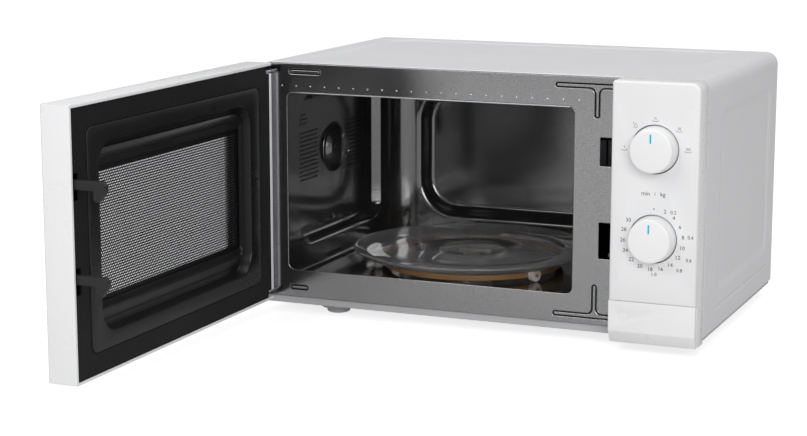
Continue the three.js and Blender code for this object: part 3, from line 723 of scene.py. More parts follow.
def insideBy(u, v, field):
    # how far a point lies inside a field's rounded outline, negative outside
    cu, cv = sum(field["u"]) / 2, sum(field["v"]) / 2
    corner = field["corner"]
    qu = abs(u - cu) - ((field["u"][1] - field["u"][0]) / 2 - corner)
    qv = abs(v - cv) - ((field["v"][1] - field["v"][0]) / 2 - corner)
    return corner - math.hypot(max(qu, 0), max(qv, 0)) - min(max(qu, qv), 0)


def pressed(u, v, field):
    return field["depth"] * easeIn(insideBy(u, v, field) / field["slope"])


def graded(low, high, coarse, spots):
    # stations along a length, close together only where something bends
    stops = sorted({low, high, *[e for a, b, _ in spots for e in (max(a, low), min(b, high))]})
    stations = [low]
    for a, b in zip(stops, stops[1:]):
        fine = min([step for c, d, step in spots if c <= (a + b) / 2 <= d] + [coarse])
        count = max(1, math.ceil((b - a) / fine))
        stations += [a + (b - a) * (i + 1) / count for i in range(count)]
    return stations


def sheetGrid(rows, closed=False):
    bm = bmesh.new()
    loops = [[bm.verts.new(point) for point in row] for row in rows]
    for one, two in zip(loops, loops[1:]):
        bridge(bm, one, two, closed)
    return bm


def thickened(piece, thickness, offset):
    wall = piece.modifiers.new("wall", "SOLIDIFY")
    wall.thickness = thickness
    wall.offset = offset
    wall.use_even_offset = True
    return settle(piece)


# outer wrap
caseX, caseY, caseZ = span("outer_case")
caseLook = {
    "width": caseX[1], "height": caseZ[1], "depth": caseY[1], "sheet": 1.2, "corner": 12.0,
    "top": {"u": (28, 412), "v": (30, 267), "corner": 26, "depth": 1.4, "slope": 9},
    "side": {"u": (48, 255), "v": (33, 208), "corner": 15, "depth": 1.4, "slope": 9},
    "groove": {"u": (44, 258), "v": (17.2, 20.8), "corner": 1.8, "depth": 0.7, "slope": 1.3},
    "dimple": {"u": (136.5, 141.5), "v": (6.0, 8.0), "corner": 1.0, "depth": 0.9, "slope": 0.8},
    "hem": 1.6, "bends": 10,
    # where the sheet needs its points close together: from, to, step
    "sideFine": [(4, 10, 0.7), (16, 22, 0.7), (31, 44, 1.5), (196, 210, 1.5)],
    "topFine": [(26, 56, 1.8), (384, 414, 1.8)],
    "depthFine": [(0, 2.4, 0.4), (28, 62, 1.6), (134, 144, 0.9), (240, 268, 1.6), (279, 281, 1.0)],
}


def makeCase():
    # the section runs up the left side, over the top and down: x, z and the way the sheet faces there
    look = caseLook
    width, height, corner = look["width"], look["height"], look["corner"]
    side = graded(0, height - corner, 7, look["sideFine"])
    top = graded(corner, width - corner, 10, look["topFine"])
    bends = [math.pi / 2 * k / look["bends"] for k in range(1, look["bends"])]
    section = [(0.0, z, -1, 0) for z in side]
    for start, middle in ((math.pi, corner), (math.pi / 2, width - corner)):
        for across, up in ((math.cos(start - turn), math.sin(start - turn)) for turn in bends):
            section.append((middle + corner * across, height - corner + corner * up, across, up))
        if start == math.pi:
            section += [(x, height, 0, 1) for x in top]
    section += [(width, z, 1, 0) for z in reversed(side)]
    rows = []
    for y in graded(0, look["depth"], 8, look["depthFine"]):
        hem = look["hem"] * (1 - math.sqrt(max(0, 1 - (1 - min(y / look["hem"], 1)) ** 2))) * 0.5
        row = []
        for x, z, nx, nz in section:
            depth = hem
            if nz == 1:
                depth += pressed(x, y, look["top"])
            elif nz == 0:
                depth += pressed(y, z, look["side"]) + pressed(y, z, look["groove"])
                depth += pressed(y, z, look["dimple"]) if nx > 0 else 0
            row.append((x - nx * depth, y, z - nz * depth))
        rows.append(row)
    piece = newObject("case_wrap", sheetGrid(rows))
    bm = bmesh.new()
    bm.from_mesh(piece.data)
    bm.normal_update()
    middle = min(bm.faces, key=lambda f: (f.calc_center_median() - Vector((width / 2, 140, height))).length)
    if middle.normal.z < 0:
        bmesh.ops.reverse_faces(bm, faces=bm.faces[:])
    bm.to_mesh(piece.data)
    bm.free()
    thickened(piece, look["sheet"], -1)
    handOver(piece, "whitePaint", "oven", ("outer_case",), place=ovenPlace, limit=50)


makeCase()
print("wrap ready")

# front frame
frameNodes = tuple(f"front_frame_{part}" for part in ("top", "bottom", "left", "latch", "right"))
frameX = span("front_frame_top")[0]
frameZ = (span("front_frame_bottom")[2][0], span("front_frame_top")[2][1])
frameLook = {
    "sheet": 1.2, "mouth": ((28.7, 325.1), (30.8, 208.9), 7), "slotX": (350.5, 369), "ridge": -1.35,
    "slotZ": ((154.3, 181.2), (66.8, 101.2)), "bar": 2.6, "recess": 1.5, "bend": 5.0,
    "upper": 228.4, "lower": 11.3, "barFrom": 306.4, "barTo": 372.0, "upright": 347.1, "reach": (198.6, 41.6),
    "leftBars": (((31.0, 65.0), 229.0), ((30.0, 50.0), 13.0)),
    "arms": ((1.9, 12.4), (227.2, 7.0), 2.8), "panelGap": ((376, 444), (12, 226)), "outerCorner": 10,
    "dots": {"columns": 21, "rows": 1, "across": 15.3, "up": 1.0}, "dotFrom": (23.3, 214.7),
    # a bright strip along the top edge of the mouth only: a painted highlight
    "lip": ((33, 321), (207.7, 208.75)),
}


def teeOutline(look, level, end):
    # a level bar with an upright that runs from it to the height given by end
    half, x0, x1, x = look["bar"], look["barFrom"], look["barTo"], look["upright"]
    away = 1 if end > level else -1
    near, far = level + away * half, level - away * half
    points = [(x0, far), (x1, far), (x1, near), (x + half, near), (x + half, end), (x - half, end),
              (x - half, near), (x0, near)]
    radii = [2.2, 0.6, 0.6, look["bend"], 2.2, 2.2, look["bend"], 2.2]
    if away < 0:
        points, radii = points[::-1], radii[::-1]
    return filleted(points, radii, 6)


def makeFrontFrame():
    look = frameLook
    half, recess = look["bar"], look["recess"]
    mouth = roundedOutline(*look["mouth"])
    slots = [roundedOutline(look["slotX"], level, 0.8, 3) for level in look["slotZ"]]
    armX, armLevels, armHeight = look["arms"]
    arms = [roundedOutline(armX, (low, low + armHeight), 0.3, 2) for low in armLevels]
    panelGap = roundedOutline(*look["panelGap"], 2, 4)
    beads = [teeOutline(look, look[side], end) for side, end in zip(("upper", "lower"), look["reach"])]
    beads += [roundedOutline(u, (level - half, level + half), half - 0.1, 6) for u, level in look["leftBars"]]
    outline = roundedOutline(frameX, frameZ, (0, 0, look["outerCorner"], look["outerCorner"]))
    sheet = plate(outline, [mouth, panelGap, *slots, *arms, *beads], "y", 0, look["sheet"], 0.45, 3)
    madePiece("front_frame_sheet", sheet, "frameGrey", "oven", frameNodes, limit=50)
    # the bead floors are near-black: painted shade in the pressed grooves
    shadedFloors = [plate(offsetLoop(bead, 0.5), [], "y", recess, recess + 0.4, 0.15, 1) for bead in beads]
    madePiece("front_frame_bead_floors", joined(*shadedFloors), "paintedHoleShade", "oven")
    ridges = [plate(offsetLoop(bead, look["ridge"]), [], "y", 0.1, recess - 0.05, 0.45, 3) for bead in beads]
    madePiece("front_frame_bead_ridges", joined(*ridges), "frameGrey", "oven")
    dot = turned([(0, 0.22), (0.45, 0.18), (0.75, 0.0), (0.75, -0.3), (0, -0.3)], "z", (0, 0), 10)
    place = ovenPlace @ facing("front", (look["dotFrom"][0], -0.02, look["dotFrom"][1]))
    dots = repeated("frame_weld_spots", dot, look["dots"], "brightSteel", place)
    handOver(dots, "brightSteel", "oven")
    # a bright strip along the mouth's top edge only: a painted highlight where light catches the flange
    lip = plate(roundedOutline(*look["lip"], 0.5, 3), [], "y", -0.15, 0.9, 0.25, 2)
    madePiece("mouth_lip", lip, "brightSteel", "oven")


makeFrontFrame()
print("front frame ready")

# cooking cavity
cookLook = {
    "left": 29.0, "right": 326.0, "floor": 22.0, "roof": 212.0, "back": 258.0, "front": 1.6, "corner": 34.0,
    "fillet": 5.0, "sheet": 0.8, "bends": 14, "filletBends": 4,
    "sideFine": [(24, 60, 2.0), (200, 224, 2.0)], "rearFine": [(60, 112, 2.2), (246, 292, 2.2)],
    "heightFine": [(42, 94, 2.2), (150, 205, 2.2)], "rightStations": (150, 80),
    "rear": {"u": (62, 292), "v": (44, 192), "corner": 42, "depth": 13, "slope": 13},
    "side": {"u": (26, 238), "v": (46, 203), "corner": 30, "depth": 9, "slope": 10},
    "dome": [(0, 12), (8, 11.6), (14, 10.4), (18.5, 8.2), (21.6, 5.2), (23.6, 2.2), (24.4, 1.1), (25.6, 0.9),
             (26.4, 0.6), (26.7, 0), (26.7, -0.4), (0, -0.4)],
    "domeAt": (127, 137), "coverScrew": (160, 128), "screwRadius": 3.2,
    "hole": 1.05, "holeGrid": {"across": 4.6, "up": 4.4, "shift": 2.3},
    "holeFields": [  # first hole's y and z, columns, rows
        (38, 112, 11, 12), (160, 112, 11, 12), (40, 170, 5, 3), (206, 92, 1, 24),
    ],
}


def makeCavity():
    # the walls run from the mouth's left edge round to its right: x, y and the way the wall faces there
    look = cookLook
    left, right, back, corner = look["left"], look["right"], look["back"], look["corner"]
    floor, roof, fillet = look["floor"], look["roof"], look["fillet"]
    bends = [math.pi / 2 * k / look["bends"] for k in range(1, look["bends"])]
    walls = [(left, y, 1, 0) for y in graded(look["front"], back - corner, 6, look["sideFine"])]
    walls += [(left + corner - corner * math.cos(a), back - corner + corner * math.sin(a),
               math.cos(a), -math.sin(a)) for a in bends]
    walls += [(x, back, 0, -1) for x in graded(left + corner, right - corner, 6, look["rearFine"])]
    walls += [(right - corner + corner * math.sin(a), back - corner + corner * math.cos(a),
               -math.sin(a), -math.cos(a)) for a in bends]
    walls += [(right, y, -1, 0) for y in (back - corner, *look["rightStations"], look["front"])]
    turns = [math.pi / 2 * k / look["filletBends"] for k in range(look["filletBends"] + 1)]
    levels = [(floor + fillet * (1 - math.sin(t)), fillet * (1 - math.cos(t))) for t in reversed(turns)]
    middle = graded(floor + fillet, roof - fillet, 5, look["heightFine"])
    levels += [(z, 0) for z in middle[1:-1]]
    levels += [(roof - fillet * (1 - math.sin(t)), fillet * (1 - math.cos(t))) for t in turns]
    rows = []
    for z, inset in levels:
        row = []
        for x, y, nx, ny in walls:
            depth = -inset
            if ny == -1:
                depth += pressed(x, z, look["rear"])
            elif nx == 1:
                depth += pressed(y, z, look["side"])
            row.append((x - nx * depth, y - ny * depth, z))
        rows.append(row)
    bm = sheetGrid(rows)
    bm.verts.ensure_lookup_table()
    count = len(walls)
    bm.faces.new(bm.verts[:count])
    bm.faces.new(list(reversed(bm.verts[-count:])))
    bmesh.ops.recalc_face_normals(bm, faces=bm.faces[:])
    bm.faces.ensure_lookup_table()
    floorFace = min(bm.faces, key=lambda f: f.calc_center_median().z)
    if floorFace.normal.z < 0:
        bmesh.ops.reverse_faces(bm, faces=bm.faces[:])
    piece = newObject("cavity_lining", bm)
    thickened(piece, look["sheet"], -1)
    handOver(piece, "cavityGrey", "oven", ("cavity",), place=ovenPlace, limit=50)
    level = left - look["side"]["depth"]
    dome = turned([(r, level + h) for r, h in look["dome"]], "x", look["domeAt"], 48)
    madePiece("cavity_side_cover", dome, "cavityGrey", "oven", limit=50)


def makeCavityHoles():
    look = cookLook
    wall = look["left"] - look["side"]["depth"]
    # the perforations are dark discs on the wall: painted shade standing in for the openings
    hole = turned([(0, 0.05), (look["hole"], 0.05), (look["hole"] * 1.25, 0.0), (0, -0.05)], "z", (0, 0), 8)
    for k, (y, z, columns, rows) in enumerate(look["holeFields"]):
        grid = {**look["holeGrid"], "columns": columns, "rows": rows}
        place = ovenPlace @ facing("right", (wall + 0.12, y, z))
        field = repeated("cavity_holes_%d" % (k + 1), hole.copy(), grid, "paintedHoleShade", place)
        handOver(field, "paintedHoleShade", "oven")
    hole.free()
    screw = screwStamp(look["screwRadius"])
    spots = [(wall + 0.05, *look["coverScrew"])]
    fixed = spotted("cavity_cover_screw", screw, spots, turnTo["right"], "brightSteel")
    handOver(fixed, "brightSteel", "oven", place=ovenPlace)


def screwStamp(radius):
    # a pan head with a cross recess, standing on z = 0
    head = turned([(0, 0.62 * radius), (0.5 * radius, 0.58 * radius), (0.85 * radius, 0.36 * radius),
                   (radius, 0.1 * radius), (radius, 0), (0, 0)], "z", (0, 0), 16)
    piece = newObject("screw", head)
    long, narrow = (-0.55 * radius, 0.55 * radius), (-0.12 * radius, 0.12 * radius)
    up = (0.3 * radius, radius)
    carved(piece, [block(long, narrow, up), block(narrow, long, up)])
    bm = bmesh.new()
    bm.from_mesh(piece.data)
    removeObject(piece)
    return bm


makeCavity()
makeCavityHoles()
refined("waveguide_cover", "micaSheet", 0.2, 1)
print("cavity ready")

# turntable
trayX, trayY, trayZ = span("glass_tray")
trayCentre = (sum(trayX) / 2, sum(trayY) / 2)
trayRadius = (trayX[1] - trayX[0]) / 2
trayLook = {"rise": 4, "flat": 108.5, "rings": (34, 92), "ringHeight": 0.22}


def makeTray():
    look = trayLook
    low, high = trayZ
    floor = low + look["rise"]
    crest = floor + look["ringHeight"]
    top = [(0, floor)]
    for ring in look["rings"]:
        top += [(ring - 1.6, floor), (ring - 0.7, crest), (ring + 0.7, crest), (ring + 1.6, floor)]
    top += [(look["flat"] - 2, floor), (look["flat"] + 0.5, floor + 0.6)]
    rim = [(trayRadius - 4.2, high - 1.2), (trayRadius - 2.8, high - 0.2), (trayRadius - 1.4, high),
           (trayRadius - 0.3, high - 0.5), (trayRadius, high - 1.5), (trayRadius - 1.2, high - 3.0)]
    under = [(trayRadius - 11.5, low + 0.8), (trayRadius - 13.5, low), (0, low)]
    bm = turned(top + rim + under, "z", trayCentre, 112)
    madePiece("tray_glass", bm, "trayGlass", "turntable", ("glass_tray",), limit=60)
    refined("drive_coupler", "creamPlastic", 0.8, 2)


ringLook = {
    "outer": 92.5, "inner": 84.5, "half": 2.6, "web": 2.2, "rim": 2.4, "pin": 1.5, "reach": 102.5,
    "wheel": 6.3, "bore": 1.8, "wheelSpan": (93.5, 100.5), "groove": 0.7,
}


def makeRollerRing():
    look = ringLook
    middle = sum(span("roller_1")[2]) / 2
    inner, outer, pin, reach = look["inner"], look["outer"], look["pin"], look["reach"]
    low, high, step = middle - look["half"], middle + look["half"], middle - look["half"] + look["web"]
    rim = inner + look["rim"]
    corners = [(inner, low), (outer, low), (outer, high), (rim, high), (rim, step), (inner, step)]
    section = filleted(corners, 0.5, 3)
    spokes = [Matrix.Translation((*trayCentre, 0)) @ Matrix.Rotation(math.radians(90 + 120 * k), 4, "Z")
              for k in range(3)]
    parts = [turned(section, "z", trayCentre, 96)]
    for spoke in spokes:
        profile = [(0, outer - 2), (pin, outer - 2), (pin, reach - 0.4), (pin - 0.4, reach), (0, reach)]
        parts.append(turned(profile, "x", (0, middle), 20))
        parts[-1].transform(spoke)
    madePiece("ring_body", joined(*parts), "tanPlastic", "roller_ring", ("roller_ring",))
    radius, bore, (near, far) = look["wheel"], look["bore"], look["wheelSpan"]
    for k, spoke in enumerate(spokes):
        wheel = turned([(bore, near), (radius - 0.8, near), (radius, 94.3), (radius, 96.2),
                        (radius - look["groove"], 97), (radius, 97.8), (radius, 99.7), (radius - 0.8, far),
                        (bore, far)], "x", (0, middle), 36)
        wheel.transform(spoke)
        name = "roller_%d" % (k + 1)
        madePiece(name + "_wheel", wheel, "creamPlastic", name, (name,))


makeTray()
makeRollerRing()
print("turntable ready")

# control panel, button and dials
panelX, panelY, panelZ = span("control_panel")
buttonX, buttonY, buttonZ = span("door_button")
panelLook = {"wall": 2.4, "corner": 8.0, "nose": 2.2, "hole": 22.5, "knobX": 411.0, "knobZ": (177.5, 95.5),
             "gap": 0.4, "chamferTop": 6.9, "chamferBack": -24.0, "sideFront": -22.6, "sideFoot": -16.4,
             "buttonMark": (383.5, 20.4), "markRadius": 4.6}


def panelBlock(x, y, z, radii, nose):
    # a prism along y whose front edges are rounded by nose
    outline = roundedOutline(x, z, radii)
    bm = bmesh.new()
    steps = [(y[0] + nose * (1 - math.sin(t)), nose * (1 - math.cos(t)))
             for t in (math.pi / 2 * k / 5 for k in range(5, -1, -1))]
    rows = [addLoop(bm, offsetLoop(outline, -inset) if inset else outline, "y", level)
            for level, inset in [*steps, (y[1], 0)]]
    for one, two in zip(rows, rows[1:]):
        bridge(bm, one, two)
    bm.faces.new(rows[0])
    bm.faces.new(list(reversed(rows[-1])))
    bmesh.ops.recalc_face_normals(bm, faces=bm.faces[:])
    return bm


def makePanel():
    look = panelLook
    x, y, z = panelX, panelY, panelZ
    wall = look["wall"]
    faceLow = buttonZ[1] + look["gap"]
    piece = newObject("panel_moulding", panelBlock(x, y, z, (0, 0, look["corner"], 2.6), look["nose"]))
    cutters = [
        panelBlock((x[0] + wall, x[1] - wall), (y[0] + wall, y[1] + 4), (z[0] - 20, z[1] - wall),
                   (0, 0, look["corner"] - wall, 0.6), 0.3),
        block((x[0] - 2, x[1] + 2), (y[0] - 3, y[0] + wall + 0.3), (z[0] - 4, faceLow)),
        prism([(y[0] - 4, z[0] - 4), (look["sideFoot"], z[0] - 4), (look["sideFoot"], z[0]),
               (look["sideFront"], look["chamferTop"]), (look["sideFront"], faceLow), (y[0] - 4, faceLow)],
              "x", x[0] - 2, x[1] + 2),
    ]
    for level in look["knobZ"]:
        hole = [(0, y[0] - 3), (look["hole"], y[0] - 3), (look["hole"], y[0] + 4), (0, y[0] + 4)]
        cutters.append(turned(hole, "y", (look["knobX"], level), 72))
    carved(piece, cutters)
    softened(piece, 0.3, 2, 50)
    shelf = block((x[0] + wall - 0.2, x[1] - wall + 0.2), (y[0] + 1, -6), (faceLow, faceLow + 2))
    addTo(piece, shelf)
    handOver(piece, "whiteGloss", "oven", ("control_panel",), place=ovenPlace, limit=30)


def addTo(piece, bm):
    mesh = bpy.data.meshes.new("part")
    bm.to_mesh(mesh)
    bm.free()
    whole = bmesh.new()
    whole.from_mesh(piece.data)
    whole.from_mesh(mesh)
    whole.to_mesh(piece.data)
    whole.free()


def makeButton():
    # a bent face with a block behind it and a round mark let into it
    look = panelLook
    x, front, bottom, top = buttonX, buttonY[0], *buttonZ
    wall, chamferTop, chamferBack = look["wall"], look["chamferTop"], look["chamferBack"]
    mark, markAt = look["markRadius"], look["buttonMark"]
    face = filleted([(chamferBack, bottom), (chamferBack + wall, bottom), (front + wall, chamferTop + 0.4),
                     (front + wall, top), (front, top), (front, chamferTop)][::-1],
                    [1.5, 0.7, 0.1, 0.1, 0.1, 0.7][::-1], 4)
    piece = newObject("button_moulding", prism(face[::-1], "x", *x))
    body = filleted([(chamferBack + 1, bottom), (-14, bottom), (-14, top - 0.2), (front + 2, top - 0.2),
                     (front + 2, chamferTop)], 0.4, 2)
    inner = (x[0] + wall + 0.3, x[1] - wall - 0.3)
    carved(piece, [prism(body, "x", *inner)], "UNION")
    sunk = [(0, front - 1), (mark, front - 1), (mark, front + 0.35), (0, front + 0.35)]
    carved(piece, [turned(sunk, "y", markAt, 40)])
    softened(piece, 0.35, 2, 40)
    stud = [(0, front + 0.02), (3.9, front + 0.06), (4.3, front + 0.3), (4.3, front + 0.8), (0, front + 0.8)]
    addTo(piece, turned(stud, "y", markAt, 40))
    handOver(piece, "whiteGloss", "door_button", ("door_button",), place=ovenPlace, limit=30)


knobLook = {
    "base": 21.6, "face": 20.0, "hub": 7, "bore": 3.3, "markHalf": 0.75, "markFrom": 7.2, "markTo": 15.6,
}


def makeKnobs():
    look = knobLook
    middle = panelLook["knobX"]
    front, wallBack = span("power_knob")[1]
    base, face, hub, bore, half = look["base"], look["face"], look["hub"], look["bore"], look["markHalf"]
    outer = [(0, front), (face - 2.0, front), (face - 0.9, front + 0.25), (face - 0.25, front + 0.9),
             (face, front + 1.9), (20.6, front + 8), (base, panelY[0] + 0.4), (base, wallBack)]
    inner = [(base - 2.2, wallBack), (base - 2.6, front + 3), (hub, front + 3), (hub, wallBack - 3),
             (bore, wallBack - 3), (bore, front + 4.2), (0, front + 4.2)]
    for name, level in zip(("power_knob", "timer_knob"), panelLook["knobZ"]):
        bm = turned(outer + inner, "y", (middle, level), 96)
        madePiece(name + "_cap", bm, "knobWhite", name, (name,), limit=40)
        upright = (level + look["markFrom"], level + look["markTo"])
        mark = roundedOutline((middle - half, middle + half), upright, 0.5, 4)
        line = plate(mark, [], "y", front - 0.06, front + 0.5, 0.05, 1)
        madePiece(name + "_index", line, "cyanInk", name)


def textPiece(name, words):
    # words: text, x, z, height; returns one mesh of printed characters on the panel's face
    parts = []
    for text, x, z, height in words:
        curve = bpy.data.curves.new("mark", "FONT")
        curve.body = text
        curve.size = height * dialLook["typeScale"]
        curve.align_x = "CENTER"
        curve.align_y = "CENTER"
        curve.resolution_u = 3
        curve.extrude = dialLook["typeRaise"]
        mark = bpy.data.objects.new("mark", curve)
        bpy.context.scene.collection.objects.link(mark)
        view = bpy.context.evaluated_depsgraph_get()
        mesh = bpy.data.meshes.new_from_object(mark.evaluated_get(view))
        bpy.data.objects.remove(mark)
        mesh.transform(facing("front", (x, panelY[0] - 0.03, z)))
        bm = bmesh.new()
        bm.from_mesh(mesh)
        bmesh.ops.remove_doubles(bm, verts=bm.verts[:], dist=1e-4)
        parts.append(bm)
    return newObject(name, joined(*parts))


dialLook = {
    "digit": 3.7, "ring": 28.2, "perMinute": 10.07, "startAngle": 2.6,
    "weights": (  # what it says, angle, radius
        ("0.2", 36, 31.6), ("0.4", 84, 35.2), ("0.6", 117, 38.0), ("0.8", 137, 37.2), ("1.0", 177, 32.6),
    ),
    "weightDigit": 3.3, "units": (("min", -7.5), ("kg", 8.5)), "unitZ": 41.5, "unitDigit": 4.0,
    "heat": ((-90, 28.4, 1), (0, 27.6, 2), (49, 29.4, 3), (88, 30.8, 4)), "thaw": (-41, 27.6),
    "stroke": 0.34, "typeScale": 1.38, "typeRaise": 0.04,
}


def onDial(level, angle, radius):
    turn = math.radians(angle)
    return panelLook["knobX"] + radius * math.sin(turn), level + radius * math.cos(turn)


def printed(outline):
    # an inked shape on the panel's face
    return prism(outline, "y", panelY[0] - 0.07, panelY[0] + 0.05)


def printStrip(points, width):
    # a thin inked line along a few (x, z) points of the panel's face
    left, right = [], []
    for i, point in enumerate(points):
        before, after = Vector(points[max(i - 1, 0)]), Vector(points[min(i + 1, len(points) - 1)])
        along = (after - before).normalized()
        side = Vector((-along.y, along.x)) * width / 2
        left.append((point[0] + side.x, point[1] + side.y))
        right.append((point[0] - side.x, point[1] - side.y))
    return printed(right + left[::-1])


def makeDials():
    look = dialLook
    upper, lower = panelLook["knobZ"]
    stroke = look["stroke"]
    words = []
    for value in range(2, 32, 2):
        x, z = onDial(lower, look["startAngle"] + look["perMinute"] * value, look["ring"])
        words.append((str(value), x, z, look["digit"]))
    for text, angle, radius in look["weights"]:
        x, z = onDial(lower, angle, radius)
        words.append((text, x, z, look["weightDigit"]))
    for text, shift in look["units"]:
        words.append((text, panelLook["knobX"] + shift, lower + look["unitZ"], look["unitDigit"]))
    numbers = textPiece("dial_numbers", words)
    handOver(numbers, "printInk", "oven", place=ovenPlace)
    marks = []
    for angle, radius, bars in look["heat"]:
        x, z = onDial(upper, angle, radius)
        bowl = [(x + 2.9 * math.cos(t), z - 1.0 + 1.2 * math.sin(t))
                for t in (math.pi + math.pi * k / 8 for k in range(9))]
        marks.append(printStrip(bowl, stroke))
        for k in range(bars):
            bx = x + (k - (bars - 1) / 2) * 1.05
            steam = [(bx, z - 0.4), (bx + 0.22, z + 0.5), (bx - 0.1, z + 1.2), (bx + 0.1, z + 2.0)]
            marks.append(printStrip(steam, 0.32))
    x, z = onDial(upper, *look["thaw"])
    drop = [(x + 1.5 * math.cos(t), z - 0.6 + 1.5 * math.sin(t))
            for t in (math.radians(130 + 280 * k / 12) for k in range(13))]
    marks.append(printStrip(drop, stroke))
    marks.append(printStrip([drop[0], (x, z + 2.1), drop[-1]], stroke))
    for spot, radius in (((x - 1.9, z + 2.4), 0.45), (onDial(lower, 1.0, 27.8), 0.62)):
        marks.append(printed(circleOutline(spot, radius, 16)))
    cx, cz = panelLook["knobX"] + 1.2, lower + look["unitZ"]
    marks.append(printStrip([(cx, cz - 1.7), (cx, cz + 1.7)], stroke))
    icons = newObject("dial_marks", joined(*marks))
    handOver(icons, "printInk", "oven", place=ovenPlace)


makePanel()
makeButton()
makeKnobs()
makeDials()
print("controls ready")

# door, drawn shut
screenX, screenY, screenZ = span("door_screen")
windowX, windowY, windowZ = span("door_window")
doorLook = {
    "bezel": ((8.3, 366.1), (3.3, 234.2)), "bezelY": (-3.4, -1.1), "cover": ((31.4, 343.1), (22, 216), 8),
    "well": ((50.2, 325.1), (36, 201), 22), "slots": ((357.7, 365.3), ((157.2, 180.3), (77.0, 100.1))),
    "pockets": ((226.6, 234.5), (3.0, 10.4)), "pocketX": 15.0,
    "view": ((57, 318), (63, 175)), "pitch": 2.7, "hole": 0.77, "screenBack": -14.0, "screenSheet": 0.14,
}


def makeBezel():
    look = doorLook
    (x0, x1), (z0, z1) = look["bezel"]
    (lowPocket, highPocket), right = (look["pockets"][1], look["pockets"][0]), look["pocketX"]
    outline = filleted([
        (x0, lowPocket[1]), (right, lowPocket[1]), (right, z0), (x1, z0), (x1, z1), (right, z1),
        (right, highPocket[0]), (x0, highPocket[0])], [0.4, 2.6, 1, 2, 2, 1, 2.6, 0.4], 5)
    cover = roundedOutline(*[(a - 0.35, b + 0.35) for a, b in look["cover"][:2]], look["cover"][2] + 0.3, 8)
    slotU, slotLevels = look["slots"]
    slots = [roundedOutline(slotU, level, 0.6, 3) for level in slotLevels]
    bm = plate(outline, [cover, *slots], "y", *look["bezelY"], 0.4, 3)
    madePiece("bezel_plate", bm, "blackGrain", "door", ("door_inner_bezel",), limit=50)


def makeChokeCover():
    # loops from the outer edge down the stepped well to the screen: x, z, corner, level
    look = doorLook
    (x0, x1), (z0, z1), corner = look["cover"]
    (w0, w1), (v0, v1), round0 = look["well"]
    loops = [
        ((x0, x1), (z0, z1), corner, -3.2), ((x0, x1), (z0, z1), corner, -1.4),
        ((x0 + 0.3, x1 - 0.3), (z0 + 0.3, z1 - 0.3), corner - 0.3, -1.0),
        ((x0 + 0.8, x1 - 0.8), (z0 + 0.8, z1 - 0.8), corner - 0.6, -0.9),
        ((w0 - 1.5, w1 + 1.5), (v0 - 1.5, v1 + 1.5), round0 + 1.2, -0.9),
        ((w0 - 0.5, w1 + 0.5), (v0 - 0.5, v1 + 0.5), round0 + 0.4, -1.2),
        ((w0, w1), (v0, v1), round0, -2.0), ((w0 + 0.8, w1 - 0.8), (v0 + 0.9, v1 - 0.9), round0 - 1, -9.6),
        ((w0 + 1.3, w1 - 1.3), (v0 + 1.8, v1 - 1.8), round0 - 2, -10.9),
        ((w0 + 1.7, w1 - 1.7), (v0 + 3.0, v1 - 3.0), round0 - 4, -11.2),
        ((52.2, 323), (v0 + 7.5, v1 - 6.5), 13, -11.2), ((52.6, 322.7), (v0 + 8.3, v1 - 7.2), 12.4, -9.4),
        ((52.9, 322.4), (v0 + 9.2, v1 - 8.0), 12, -8.9), ((53.2, 322), (v0 + 17.0, v1 - 14.0), 8, -8.4),
        ((53.4, 321.7), (v0 + 17.8, v1 - 14.8), 7, -9.0), ((53.6, 321.5), (v0 + 18.6, v1 - 15.6), 6.5, -10.4),
        ((53.8, 321.2), (59.2, 178.8), 4, -11.4), ((54, 321), (60, 178), 3, -12.6),
    ]
    rows = [[(u, level, v) for u, v in roundedOutline(x, z, r, 10)] for x, z, r, level in loops]
    bm = sheetGrid(rows, True)
    bmesh.ops.recalc_face_normals(bm, faces=bm.faces[:])
    if sum(f.normal.y * f.calc_area() for f in bm.faces) < 0:
        bmesh.ops.reverse_faces(bm, faces=bm.faces[:])
    piece = newObject("choke_cover_moulding", bm)
    thickened(piece, 1.0, -1)
    handOver(piece, "darkSmooth", "door", ("choke_cover",), place=doorPlace, limit=32)


def addHexagon(bm, radius):
    angles = [math.pi / 6 + math.pi / 3 * k for k in range(6)]
    return [bm.verts.new((radius * math.cos(a), radius * math.sin(a), 0)) for a in angles]


def makeScreen():
    # each cell is a hexagon with a smaller one left open in it, and the cells weld into one sheet
    look = doorLook
    (x0, x1), (z0, z1) = look["view"]
    pitch = look["pitch"]
    rise = pitch * math.sqrt(3) / 2
    columns = int((x1 - x0) / pitch)
    rows = int((z1 - z0) / rise)
    cell = bmesh.new()
    bridge(cell, addHexagon(cell, pitch / math.sqrt(3)), addHexagon(cell, look["hole"]))
    grid = {"columns": columns, "rows": rows, "across": pitch, "up": rise, "shift": pitch / 2}
    place = facing("front", (x0 + pitch / 2, look["screenBack"], z0 + pitch / 2))
    mesh = repeated("screen_mesh", cell, grid, "screenPaint", place, 0.02)
    thickened(mesh, look["screenSheet"], 0)
    handOver(mesh, "screenPaint", "door", place=doorPlace, limit=30)
    holesX, holesZ = (x0 + 1.4, x0 + columns * pitch + 0.2), (z0 + 1.2, z0 + rows * rise - 0.2)
    opening = roundedOutline(holesX, holesZ, 0.6, 3)
    edge = plate(roundedOutline(screenX, screenZ, 2, 4), [opening], "y", *screenY, 0.15, 1)
    madePiece("screen_border", edge, "screenPaint", "door", ("door_screen",), limit=50)


def makeWindow():
    pane = plate(roundedOutline(windowX, windowZ, 10, 8), [], "y", *windowY, 0.4, 2)
    madePiece("window_pane", pane, "paneGlass", "door", ("door_window",), limit=50)


springLooks = {
    "latch_spring": {"turns": 8.5, "wire": 0.55, "along": "z", "body": "door"},
    "lever_spring": {"turns": 6.0, "wire": 0.6, "along": "x", "body": "oven"},
}


